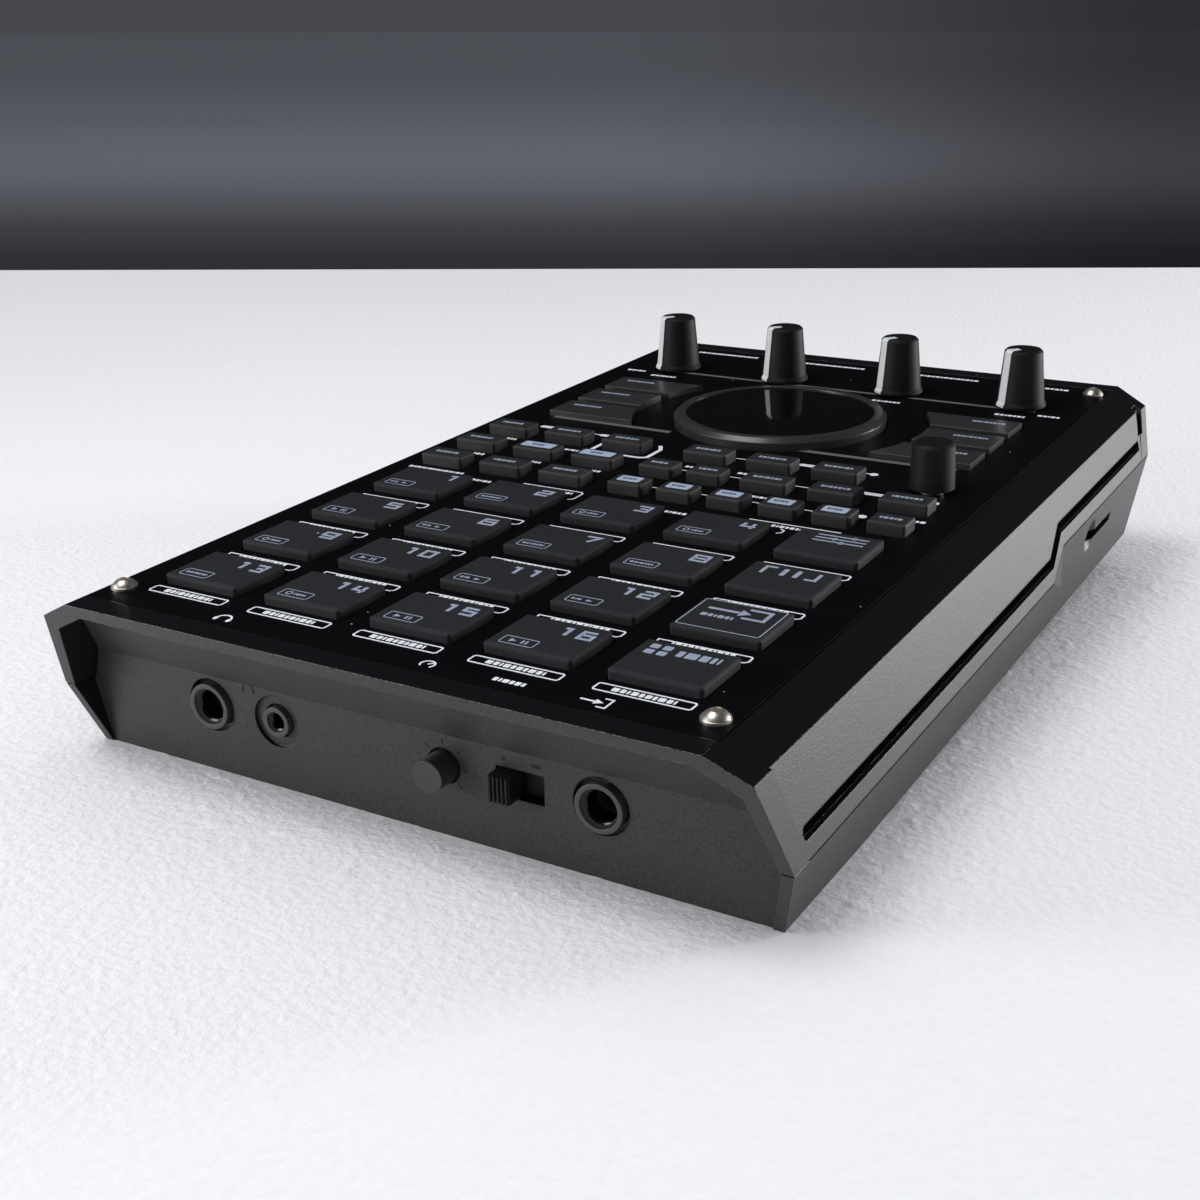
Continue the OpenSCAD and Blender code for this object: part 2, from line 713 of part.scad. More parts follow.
module top_plate() color("#17181a") deck() {
    difference() {
        translate([-top_half, lip_d + plate_gap, -plate_t])
            cube([2 * top_half, case_l - 2 * (lip_d + plate_gap), plate_t]);
        layer(-plate_t - cut, cut) panel_holes();
        layer(-plate_t - cut, cut) translate([0, display_v]) circle(ring_r + hole_gap);
    }
}
module plate_screws() color("#c9c6bd") deck() {
    for (p = screw_places) translate(p) difference() {
        union() {
            layer(0, screw_flange_t) circle(screw_head_r);
            rotate_extrude() intersection() {
                translate([0, screw_head_h - screw_ball_r]) circle(screw_ball_r);
                square([screw_dome_r, screw_head_h]);
            }
            layer(-deck_drop, screw_flange_t) circle(screw_r);
        }
        layer(screw_head_h - socket_depth, screw_head_h + cut) circle(socket_r, $fn = 6);
    }
}
module case_screws() color("#8f8f92") deck() {
    for (v = case_post_v) mirrored_pair(case_post_x, v) {
        layer(-case_t + 0.1, -case_t + case_screw_head_t) circle(case_screw_head_r);
        layer(-case_t + 1, case_post_top + 6) circle(case_screw_r);
    }
}
module rubber_feet() color("#1b1b1c") {
    front_y = -depth / 2 + end_rake + foot_r + foot_inset / 2;
    rear_y = box_back_y - foot_zone / 2;
    for (side = [-1, 1]) {
        intersection() {
            translate([side * (base_half - foot_r - foot_inset), front_y, 0]) cylinder(r = foot_r, h = case_t);
            deck() translate([-waist_half, 0, -2 * case_t]) cube([2 * waist_half, case_l, case_t]);
        }
        translate([side * (box_half - foot_r - bay_wall), rear_y, 0])
            cylinder(r = foot_r, h = box_bottom);
    }
}

module display_ring() color("#1d1e20") deck() {
    inner = ring_r - ring_rim;
    translate([0, display_v]) rotate_extrude() polygon([
        [inner - 1.4, -plate_t], [ring_r, -plate_t], [ring_r, ring_h - 1.2],
        [ring_r - 1.2, ring_h], [inner, ring_h], [inner, ring_h - lens_t - 0.5],
        [inner - 1.4, ring_h - lens_t - 0.5]]);
}
module display_window() color([0.05, 0.05, 0.06, 0.5]) deck() {
    translate([0, display_v]) layer(ring_h - lens_t - 0.5, ring_h - 0.4)
        circle(ring_r - ring_rim - run_gap);
}
module display_module() color("#101214") deck() {
    at(0, display_v) block(screen_w, screen_d, board_top, ring_h - lens_t - 1);
}
module control_board() color("#24523a") deck() {
    translate([-board_half, board_start_v, board_top - board_t])
        cube([2 * board_half, rear_inner_v - board_start_v - 4, board_t]);
}
module main_board() color("#24523a") deck() {
    translate([-main_half, main_board_v, main_board_w - board_t])
        cube([2 * main_half, main_l, board_t]);
}
module front_board() color("#24523a") deck() {
    translate([-front_board_half, board_start_v, front_board_w - board_t])
        cube([2 * front_board_half, front_board_l, board_t]);
}

// Rotary controls: a body on the board with a blind bore for the shaft
pot_size = 11;
pot_top = -deck_drop - 0.5;
bore_floor = board_top + 1;
module shaft_body(size) {
    difference() {
        block(size, size, board_top, pot_top);
        layer(bore_floor, pot_top + cut) circle(shaft_r + run_gap);
    }
}
module knob_pots() color("#3a3d42") deck() {
    for (p = knob_places) translate(p) shaft_body(pot_size);
}
module encoder_body() color("#3a3d42") deck() {
    translate(value_place) shaft_body(pot_size);
}
module knob(i) color("#1c1d1f") deck() {
    foot = move_gap;
    translate(knob_places[i - 1]) rotate_extrude() polygon([
        [0, bore_floor + body_gap], [shaft_r, bore_floor + body_gap], [shaft_r, foot], [knob_r, foot],
        [knob_r, foot + skirt_h], [knob_r - skirt_in, foot + 2 * skirt_h],
        [knob_top_r, knob_h - knob_bevel], [knob_top_r - knob_bevel, knob_h], [0, knob_h]]);
}
module value_stem() color("#b9bbbe") deck() {
    translate(value_place)
        layer(bore_floor + value_travel + body_gap, value_h - value_cap_t) circle(shaft_r);
}
module value_knob() color("#1e1f21") deck() {
    foot = move_gap + value_travel;
    translate(value_place) rotate_extrude() polygon([
        [shaft_r + run_gap, foot], [value_r, foot], [value_top_r, value_h - value_bevel],
        [value_top_r - value_bevel, value_h], [0, value_h], [0, value_h - value_cap_t + run_gap],
        [shaft_r + run_gap, value_h - value_cap_t + run_gap]]);
}

// Pads: a rounded cap, a flange under the deck and a plunger above the board
module pad(p) color("#26272a") deck() {
    translate(p) {
        cap(pad_w, pad_d, flange_top - 0.2, pad_h, pad_round);
        block(pad_w + 2 * flange, pad_d + 2 * flange, flange_top - web_t, flange_top);
        layer(board_top + press_gap + pad_travel, flange_top) circle(plunger_r);
    }
}
module key_cap(p, size) {
    translate(p) {
        cap(size, key_d, flange_top - 0.2, key_h, key_round);
        block(size + 2 * flange, key_d + 2 * flange, flange_top - web_t, flange_top);
        layer(board_top + press_gap + key_travel, flange_top) circle(key_plunger_r);
    }
}
// A strip of web that links two key places of one moulding
module key_link(a, b) {
    strip = key_d - 2 * flange;
    translate([min(a[0], b[0]) - strip / 2, min(a[1], b[1]) - strip / 2, flange_top - web_t])
        cube([abs(a[0] - b[0]) + strip, abs(a[1] - b[1]) + strip, web_t]);
}
module left_keys() color("#232427") deck() {
    for (p = left_key_places) key_cap(p, wide_key_w);
    for (row = [0:2]) key_link(left_key_places[3 * row], left_key_places[3 * row + 2]);
    key_link(left_key_places[1], left_key_places[7]);
}
module step_keys() color("#8d98a6") deck() {
    for (p = step_key_places) key_cap(p, step_key_w);
    key_link(step_key_places[0], step_key_places[step_count - 1]);
}
module right_keys() color("#232427") deck() {
    for (p = concat(middle_narrow_places, [end_key_place])) key_cap(p, step_key_w);
    for (p = concat(middle_wide_places, back_wide_places)) key_cap(p, wide_key_w);
    key_link(middle_narrow_places[0], [end_x, key_v + key_row_pitch]);
    key_link(back_wide_places[0], back_wide_places[2]);
    key_link([back_wide_places[1][0], key_v + key_row_pitch], back_wide_places[1]);
    key_link(end_key_place, [end_x, key_v + key_row_pitch]);
}
module effect_keys(side) {
    spine = effect_out_x - 6;
    for (row = [-1:1]) {
        layer(flange_top - 0.2, effect_h) effect_outline(side, row, 0);
        layer(flange_top - web_t, flange_top) effect_outline(side, row, flange);
        at(side * spine, display_v + row * key_row_pitch)
            layer(board_top + press_gap + key_travel, flange_top) circle(key_plunger_r);
    }
    translate([side * spine - 2.5, display_v - key_row_pitch, flange_top - web_t])
        cube([5, 2 * key_row_pitch, web_t]);
}
module effect_keys_left() color("#1e1f22") deck() { effect_keys(-1); }
module effect_keys_right() color("#1e1f22") deck() { effect_keys(1); }

// Connectors: a body on its board, a nose through the wall and a blind bore.
// Drawn with the mouth at the origin, opening towards -v.
module socket(nose_r, bore_r, bore_l, body_w, body_l, nose_l, below) {
    flare = (nose_r - nose_land - bore_r) / mouth_l;
    difference() {
        union() {
            wall_bore(0, 0, nose_r, 0, nose_l + cut);
            translate([-body_w / 2, nose_l, -below]) cube([body_w, body_l, below + body_w / 2]);
        }
        wall_bore(0, 0, bore_r, -cut, bore_l);
        at(0, -cut, 0) rotate([-90, 0, 0])
            cylinder(r1 = bore_r + flare * (mouth_l + cut), r2 = bore_r, h = mouth_l + cut);
    }
}
nose_land = 1;
mouth_l = 1.8;
nose_out = 1.1;
port_out = 0.4;
nose_l = tray_t + nose_out + body_gap;
port_l = tray_t + port_out + body_gap;
module large_jack() {
    socket(jack_nose_r, jack_r, jack_bore_l, jack_body_w, jack_body_l, nose_l, jack_axis_up);
}
module front_place(x, out) { at(x, wall_face_v - out, -front_axis_drop) children(); }
module rear_place(x, w, out) { at(x, rear_face_v + out, w) rotate([0, 0, 180]) children(); }
module front_jacks() color("#141416") deck() {
    for (x = [-phones_x, input_x]) front_place(x, nose_out) large_jack();
}
module mini_jack() color("#141416") deck() {
    front_place(-mini_x, port_out)
        socket(mini_nose_r, mini_r, mini_bore_l, mini_body_w, mini_body_l, port_l, jack_axis_up);
}
module line_jacks() color("#141416") deck() {
    for (x = line_x) rear_place(x, rear_axis_w, nose_out) large_jack();
}
module data_jacks() color("#141416") deck() {
    for (x = data_x) rear_place(x, data_axis_w, port_out)
        socket(mini_nose_r, mini_r, mini_bore_l, mini_body_w, mini_body_l, port_l, mini_axis_up);
}
module usb_socket() color("#b9bbbe") deck() {
    at(usb_x, rear_face_v + port_out - usb_l, main_board_w) {
        difference() {
            translate([-usb_w / 2, 0, 0]) cube([usb_w, usb_l, usb_h]);
            translate([-usb_w / 2 + usb_wall, 2, usb_wall])
                cube([usb_w - 2 * usb_wall, usb_l, usb_h - 2 * usb_wall]);
        }
        translate([-usb_w / 3, 1, usb_h / 2 - usb_wall]) cube([usb_w / 1.5, usb_l - 3, 2 * usb_wall]);
    }
}
module dc_inlet() color("#141416") deck() {
    rear_place(dc_x, rear_axis_w, port_out) {
        socket(dc_nose_r, dc_bore_r, dc_bore_l, dc_body_w, dc_body_l, port_l, jack_axis_up);
        wall_bore(0, 0, dc_pin_r, port_out + 1, dc_bore_l + cut);
    }
}
module power_switch() color("#2c2d30") deck() {
    body_l = 8;
    at(power_x, rear_inner_v - body_gap - body_l / 2)
        block(power_slot_w + 4, body_l, main_board_w, rear_axis_w + power_slot_h);
}
module power_slider() color("#161618") deck() {
    lever = power_slot_w * 0.4;
    at(power_x - power_slot_w / 2 + lever / 2 + lever_gap, rear_inner_v + tray_t, rear_axis_w)
        block(lever, 2 * tray_t, lever_gap - power_slot_h / 2, power_slot_h / 2 - lever_gap);
}
module gain_pot() color("#3a3d42") deck() {
    size = 10;
    at(gain_x, wall_inner_v + body_gap, -front_axis_drop) difference() {
        translate([-size / 2, 0, -jack_axis_up]) cube([size, size - 1, jack_axis_up + size / 2]);
        wall_bore(0, 0, shaft_r + run_gap, -cut, gain_shaft_l + body_gap);
    }
}
gain_out = 4.6;
gain_shaft_l = 6.5;
module gain_knob() color("#1a1b1d") deck() {
    front_place(gain_x, nose_out) {
        wall_bore(0, 0, gain_r, -gain_out, nose_l - body_gap);
        wall_bore(0, 0, shaft_r, nose_l - 2 * body_gap, nose_l + gain_shaft_l);
    }
}
module slide_switch() color("#3a3d42") deck() {
    body_l = 8;
    at(switch_x, wall_inner_v + body_gap + body_l / 2, -front_axis_drop)
        block(slot_w + 2, body_l, -jack_axis_up, slot_h / 2 + 1);
}
module input_slider() color("#1a1b1d") deck() {
    out = 3.4;
    rib = 0.5;
    ribs = 5;
    rib_pitch = lever_w / ribs;
    lever_h = slot_h - 2 * lever_gap;
    at(switch_x - slot_w / 2 + lever_gap, wall_face_v - out, -front_axis_drop - lever_h / 2) {
        cube([lever_w, tray_t + out, lever_h]);
        for (i = [0:ribs - 1]) {
            translate([(i + 0.25) * rib_pitch, -rib, 0]) cube([rib_pitch / 2, 2 * rib, lever_h]);
        }
    }
}
module card_socket() color("#b9bbbe") deck() {
    socket_l = 28;
    side_t = 1.5;
    mouth_x = base_half - tray_t - card_setback;
    difference() {
        translate([mouth_x - socket_l, card_v - card_w / 2 - side_t, main_board_w])
            cube([socket_l, card_w + 2 * side_t, card_h + 1]);
        translate([mouth_x - socket_l + 1, card_v - card_w / 2, main_board_w + card_floor])
            cube([socket_l, card_w, card_h]);
    }
}
module battery_contacts() color("#b9bbbe") {
    plate = 1;
    size = 9;
    for (side = [-1, 1], i = [0:2]) {
        translate([side * (bay_w - plate) / 2 - plate / 2,
                   bay_y + (i + 0.5) * bay_l / 3 - size / 2, bay_z + (bay_h - size) / 2])
            cube([plate, size, size]);
    }
}
module battery_cover() color("#2a2b2d") {
    lap = cover_lap - cover_gap;
    translate([-bay_w / 2 - lap, bay_y - lap, cover_z])
        cube([bay_w + 2 * lap, bay_l + 2 * lap, cover_t]);
}

lower_case();
upper_case();
top_plate();
plate_screws();
case_screws();
rubber_feet();
display_ring();
display_window();
display_module();
control_board();
main_board();
front_board();
knob_pots();
encoder_body();
front_jacks();
mini_jack();
gain_pot();
slide_switch();
line_jacks();
data_jacks();
usb_socket();
dc_inlet();
power_switch();
card_socket();
battery_contacts();
left_keys();
step_keys();
right_keys();
effect_keys_left();
effect_keys_right();
value_stem();
value_knob();
gain_knob();
input_slider();
power_slider();
battery_cover();
for (i = [1:4]) knob(i);
for (i = [1:16]) pad(numbered_pad(i));
for (i = [1:4]) pad(side_pad(i));
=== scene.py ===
"""Finishes, printed marks and small fittings of a desktop audio sampler, built round its CAD frame."""

import json
import math

import bmesh
import bpy
from bpy.props import FloatProperty, FloatVectorProperty, IntProperty, PointerProperty
from mathutils import Matrix, Vector, noise


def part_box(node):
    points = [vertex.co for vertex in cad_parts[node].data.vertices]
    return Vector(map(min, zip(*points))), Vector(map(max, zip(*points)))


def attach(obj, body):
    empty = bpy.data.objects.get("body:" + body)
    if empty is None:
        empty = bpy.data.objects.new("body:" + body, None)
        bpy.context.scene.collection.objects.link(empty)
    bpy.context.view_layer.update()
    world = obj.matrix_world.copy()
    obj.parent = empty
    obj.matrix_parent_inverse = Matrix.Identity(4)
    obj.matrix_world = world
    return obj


bl_info = {
    "name": "Audio sampler looks",
    "version": (1, 0, 0),
    "blender": (4, 5, 0),
    "location": "View3D > Sidebar > Sampler",
    "description": "Finishes, printed marks and fittings of a desktop audio sampler",
    "category": "Object",
}

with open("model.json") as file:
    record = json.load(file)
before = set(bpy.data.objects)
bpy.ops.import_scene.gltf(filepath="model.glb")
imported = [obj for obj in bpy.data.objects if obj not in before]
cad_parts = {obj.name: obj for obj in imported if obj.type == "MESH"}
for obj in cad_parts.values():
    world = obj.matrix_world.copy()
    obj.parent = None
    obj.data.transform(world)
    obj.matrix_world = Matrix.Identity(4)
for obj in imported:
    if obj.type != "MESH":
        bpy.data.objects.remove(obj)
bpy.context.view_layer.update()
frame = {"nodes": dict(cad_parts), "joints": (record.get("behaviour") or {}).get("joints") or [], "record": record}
NODES = frame["nodes"]
SLOT_OF = {part["node"]: part["material_slot"] for part in frame["record"]["subparts"]}
MM = 0.001

# The deck of the case: x across, v back from the front lip, w up from the plate, in millimetres
KNOB_JOINT = next(j for j in frame["joints"] if j["name"] == "knob_1_turn")
TILT = math.atan2(-KNOB_JOINT["axis"][1], KNOB_JOINT["axis"][2])
KNOB_V = 240.55
TURN = Matrix.Rotation(TILT, 4, "X")
KNOB_FOOT = Vector((0, *KNOB_JOINT["pos_m"][1:]))
DECK_ORIGIN = KNOB_FOOT - TURN @ Vector((0, KNOB_V * MM, 0))
DECK = Matrix.Translation(DECK_ORIGIN) @ TURN @ Matrix.Scale(MM, 4)

CASE_L = 276.05
PAD_COLUMNS = (-55.2, -27.6, 0.0, 27.6, 55.2)
PAD_ROWS = (27.9, 52.2, 76.5, 100.8)
PAD_TOP = 2.2
KEY_ROWS = (121.05, 137.05, 153.05)
KEY_TOP = 3.0
LEFT_KEYS_X = (-61.8, -43.6, -25.4)
STEP_KEYS_X = (-6.6, 7.1, 20.8, 34.5, 48.2)
WIDE_KEYS_X = (23.5, 41.7, 59.9)
BACK_KEYS_X = (-0.6, 17.6, 35.8)
END_KEY_X = 61.9
DISPLAY_V = 196.05
EFFECT_ROWS = (180.05, 196.05, 212.05)
EFFECT_TOP = 1.6
KNOBS_X = (-55.8, -18.6, 18.6, 55.8)
FRONT_FACE_V = 14.6
FRONT_AXIS_W = -24.0
FRONT_JACKS_X = (-50.5, 46.5)
MINI_JACK_X = -32.4
GAIN_X = 10.5
LINE_JACKS_X = (-62.0, -44.0, -26.0, -8.0)
DATA_JACKS_X = (14.0, 26.0)
JACK_OUT = 1.1
PORT_OUT = 0.4
REAR_FACE_V = CASE_L - FRONT_FACE_V
REAR_AXIS_W = -21.4
DATA_AXIS_W = -23.4

# Radii of the mouth and the bore of the large and the small jacks
JACK_RADII = (4.2, 3.25)
PORT_RADII = (2.4, 1.8)

# Rows of dashes between the keys: from x, to x, at v, and the dash that each starts with
WORDS = (
    (-69.6, -52.4, 114.4, 0), (-48.0, -41.4, 111.5, 2), (8.8, 14.8, 110.6, 3), (-65.8, -57.8, 147.8, 1),
    (-40.6, -32.8, 145.5, 3), (-3.8, 3.6, 145.6, 0), (11.0, 24.0, 146.2, 2), (15.0, 29.8, 130.2, 4),
    (56.2, 67.4, 129.6, 1), (-66.0, -57.6, 131.6, 4), (-47.6, -39.6, 131.6, 1), (-29.4, -21.4, 131.6, 3),
)

# The case's side leans out below its shoulder, by the run over the fall
SHOULDER_X = 83.9
SHOULDER_DROP = 4.6
SIDE_RUN = 4.6
SIDE_FALL = 19.4

# The round dish in the side at the card slot: its centre and radius
CARD_DISH = (92.64, 209.55, -26.0)
CARD_DISH_R = 8.06

# Strength of the light around the sampler, and how deep it sinks in the soft cloth
LIGHT = 0.52
CLOTH_RISE = 0.0044
BLACK = (0.0, 0.0, 0.0, 1.0)

# The part of a noise that is stretched into clear patches
PATCHES = {"From_Min": 0.42, "From_Max": 0.62}


def colour_property(name, description, default):
    return FloatVectorProperty(
        name=name, description=description, subtype="COLOR", size=3, default=default, min=0, max=1)


def length_property(name, description, default, low, high):
    return FloatProperty(
        name=name, description=description, unit="LENGTH", default=default, min=low, max=high, precision=5)


class SamplerColours(bpy.types.PropertyGroup):
    """Colours of the finishes and prints"""

    case: colour_property("Case", "Moulded plastic of the case", (0.039, 0.039, 0.0412))
    plate: colour_property("Plate", "Paint of the plate, shoulders and lip", (0.0031, 0.0031, 0.0040))
    pad: colour_property("Pad", "Rubber of the pads", (0.0185, 0.0192, 0.0232))
    key: colour_property("Key", "Rubber of the small keys", (0.0165, 0.017, 0.0196))
    light_key: colour_property("Light key", "Pale tops of the step keys", (0.36, 0.43, 0.56))
    knob: colour_property("Knob", "Plastic of the knobs and levers", (0.0062, 0.0068, 0.0074))
    pointer: colour_property("Pointer", "White pointer of a knob", (0.60, 0.62, 0.63))
    ink: colour_property("Plate ink", "White ink on the plate", (0.80, 0.82, 0.88))
    pad_ink: colour_property("Pad ink", "Blue-grey ink on the pads and keys", (0.28, 0.32, 0.42))
    satin_line: colour_property("Satin line", "Grey lines beside the display", (0.13, 0.127, 0.129))
    floor: colour_property("Floor", "Cloth under the sampler", (0.89, 0.89, 0.91))
    backdrop: colour_property("Backdrop", "Dark ground behind the cloth", (0.040, 0.041, 0.047))


class SamplerSizes(bpy.types.PropertyGroup):
    """Sizes of the prints and small fittings"""

    ink_rise: length_property("Ink rise", "Height of the ink over its face", 0.00005, 0.00001, 0.0003)
    ink_line: length_property("Ink line", "Width of a printed line on the plate", 0.0004, 0.0001, 0.002)
    numeral_height: length_property("Numeral height", "Height of a pad's number", 0.0042, 0.001, 0.006)
    pointer_width: length_property("Pointer width", "Width of a pointer's foot", 0.0034, 0.0005, 0.004)
    edge_round: length_property("Edge rounding", "Rounding of edges in the shading", 0.0004, 0, 0.002)
    pointer_angle: FloatProperty(
        name="Pointer angle", description="Direction of the pointers at rest, from the right",
        subtype="ANGLE", default=math.radians(232))
    cover_ridges: IntProperty(
        name="Cover ridges", description="Grip ridges on the battery cover", default=7, min=3, max=15)


def colours():
    return bpy.context.scene.sampler_colours


def sizes():
    return bpy.context.scene.sampler_sizes


# Shader node groups


def new_group(name, inputs, outputs):
    group = bpy.data.node_groups.new(name, "ShaderNodeTree")
    for label, kind, value in inputs:
        socket = group.interface.new_socket(name=label, in_out="INPUT", socket_type=kind)
        socket.default_value = value
    for label, kind in outputs:
        group.interface.new_socket(name=label, in_out="OUTPUT", socket_type=kind)
    return group, group.nodes.new("NodeGroupInput"), group.nodes.new("NodeGroupOutput")


def add(tree, kind, settings=None, **inputs):
    """A node with its settings; an input is a value or another node's output."""
    node = tree.nodes.new(kind)
    for key, value in (settings or {}).items():
        setattr(node, key, value)
    for key, value in inputs.items():
        socket = node.inputs[int(key[1:])] if key[0] == "_" else node.inputs[key.replace("_", " ")]
        if isinstance(value, bpy.types.NodeSocket):
            tree.links.new(value, socket)
        else:
            socket.default_value = value
    return node


def math_node(tree, operation, first, second=0.0, clamp=False):
    settings = {"operation": operation, "use_clamp": clamp}
    return add(tree, "ShaderNodeMath", settings, _0=first, _1=second).outputs[0]


def dot_node(tree, first, second):
    settings = {"operation": "DOT_PRODUCT"}
    return add(tree, "ShaderNodeVectorMath", settings, _0=first, _1=second).outputs["Value"]


def noise_node(tree, place, scale, detail):
    return add(tree, "ShaderNodeTexNoise", None, Vector=place, Scale=scale, Detail=detail).outputs[0]


def ranged(tree, value, low=0.0, high=1.0, **limits):
    """A value brought to the range from low to high."""
    return add(tree, "ShaderNodeMapRange", None, Value=value, To_Min=low, To_Max=high, **limits).outputs[0]


def object_place(tree):
    return add(tree, "ShaderNodeTexCoord").outputs["Object"]


def true_normal(tree):
    return add(tree, "ShaderNodeNewGeometry").outputs["True Normal"]


def split(tree, vector):
    return add(tree, "ShaderNodeSeparateXYZ", None, Vector=vector).outputs


def grain_group():
    """Fine moulded grain: a height for the bump and a slow change of shade."""
    group, given, result = new_group(
        "moulded_grain",
        [("Scale", "NodeSocketFloat", 2600.0)],
        [("Height", "NodeSocketFloat"), ("Shade", "NodeSocketFloat")])
    place = object_place(group)
    slow_scale = math_node(group, "MULTIPLY", given.outputs["Scale"], 0.016)
    group.links.new(noise_node(group, place, given.outputs["Scale"], 3.0), result.inputs["Height"])
    group.links.new(noise_node(group, place, slow_scale, 4.0), result.inputs["Shade"])
    return group


def edge_group():
    """Rounded edges: a softened normal and a broken mask along the edges."""
    group, given, result = new_group(
        "worn_edges",
        [("Radius", "NodeSocketFloat", 0.0004), ("Break up", "NodeSocketFloat", 900.0)],
        [("Normal", "NodeSocketVector"), ("Mask", "NodeSocketFloat")])
    soft = add(group, "ShaderNodeBevel", {"samples": 4}, Radius=given.outputs["Radius"]).outputs[0]
    bend = math_node(group, "SUBTRACT", 1.0, dot_node(group, soft, true_normal(group)), True)
    chips = noise_node(group, object_place(group), given.outputs["Break up"], 2.0)
    worn = math_node(group, "MULTIPLY", bend, ranged(group, chips, **PATCHES))
    worn = math_node(group, "MULTIPLY", worn, 5.0, True)
    group.links.new(soft, result.inputs["Normal"])
    group.links.new(worn, result.inputs["Mask"])
    return group


def dust_group():
    """Sparse pale specks on faces that look up."""
    group, given, result = new_group(
        "dust_specks",
        [("Scale", "NodeSocketFloat", 160.0), ("Size", "NodeSocketFloat", 0.05)],
        [("Mask", "NodeSocketFloat")])
    place = object_place(group)
    cells = add(group, "ShaderNodeTexVoronoi", None, Vector=place, Scale=given.outputs["Scale"])
    chance = add(group, "ShaderNodeSeparateColor", None, Color=cells.outputs["Color"])
    rare = math_node(group, "GREATER_THAN", chance.outputs[0], 0.62)
    near = math_node(group, "LESS_THAN", cells.outputs["Distance"], given.outputs["Size"])
    level = math_node(group, "GREATER_THAN", split(group, true_normal(group))["Z"], 0.6)
    mask = math_node(group, "MULTIPLY", math_node(group, "MULTIPLY", rare, near), level)
    group.links.new(mask, result.inputs["Mask"])
    return group


def use_group(tree, name, **inputs):
    builders = {"moulded_grain": grain_group, "worn_edges": edge_group, "dust_specks": dust_group}
    group = bpy.data.node_groups.get(name) or builders[name]()
    node = tree.nodes.new("ShaderNodeGroup")
    node.node_tree = group
    for key, value in inputs.items():
        node.inputs[key.replace("_", " ")].default_value = value
    return node


# Materials


def new_finish(name, **sockets):
    """A material with one Principled shader, whose constant values sit on its own sockets."""
    material = bpy.data.materials.new(name)
    material.use_nodes = True
    tree = material.node_tree
    tree.nodes.clear()
    shader = tree.nodes.new("ShaderNodeBsdfPrincipled")
    for key, value in sockets.items():
        shader.inputs[key.replace("_", " ")].default_value = value
    output = tree.nodes.new("ShaderNodeOutputMaterial")
    tree.links.new(shader.outputs[0], output.inputs["Surface"])
    return material, tree, shader


def opaque(colour):
    return (colour[0], colour[1], colour[2], 1.0)


def scaled(colour, factor):
    return tuple(min(1.0, channel * factor) for channel in colour[:3]) + (1.0,)


def blend(tree, amount, first, second):
    """Two colours mixed by a mask."""
    node = add(tree, "ShaderNodeMix", {"data_type": "RGBA"}, _0=amount)
    for value, socket in ((first, node.inputs[6]), (second, node.inputs[7])):
        if isinstance(value, bpy.types.NodeSocket):
            tree.links.new(value, socket)
        else:
            socket.default_value = value
    return node.outputs[2]


def moulded(name, colour, rough, grain=2600.0, bump=0.12, depth=0.00004, radius=None, worn=None, dust=0.0,
            spread=0.18, fleck=0.0, **sockets):
    """A moulded plastic or rubber with grain, soft edges, wear and dust."""
    material, tree, shader = new_finish(name, **sockets)
    grained = use_group(tree, "moulded_grain", Scale=grain)
    height = grained.outputs["Height"]
    tone = blend(tree, grained.outputs["Shade"], scaled(colour, 1 - spread), scaled(colour, 1 + spread))
    if fleck:
        pits = ranged(tree, height, 0.0, fleck, **PATCHES)
        tone = blend(tree, pits, tone, scaled(colour, 0.2))
    edges = use_group(tree, "worn_edges", Radius=sizes().edge_round if radius is None else radius)
    if worn:
        tone = blend(tree, edges.outputs["Mask"], tone, opaque(worn))
    if dust:
        specks = use_group(tree, "dust_specks", Size=dust)
        tone = blend(tree, specks.outputs["Mask"], tone, (0.32, 0.33, 0.36, 1.0))
    tree.links.new(tone, shader.inputs["Base Color"])
    tree.links.new(ranged(tree, height, rough - 0.08, rough + 0.08), shader.inputs["Roughness"])
    relief = add(tree, "ShaderNodeBump", None, Strength=bump, Distance=depth, Height=height,
                 Normal=edges.outputs["Normal"])
    tree.links.new(relief.outputs[0], shader.inputs["Normal"])
    return material, tree, shader, tone


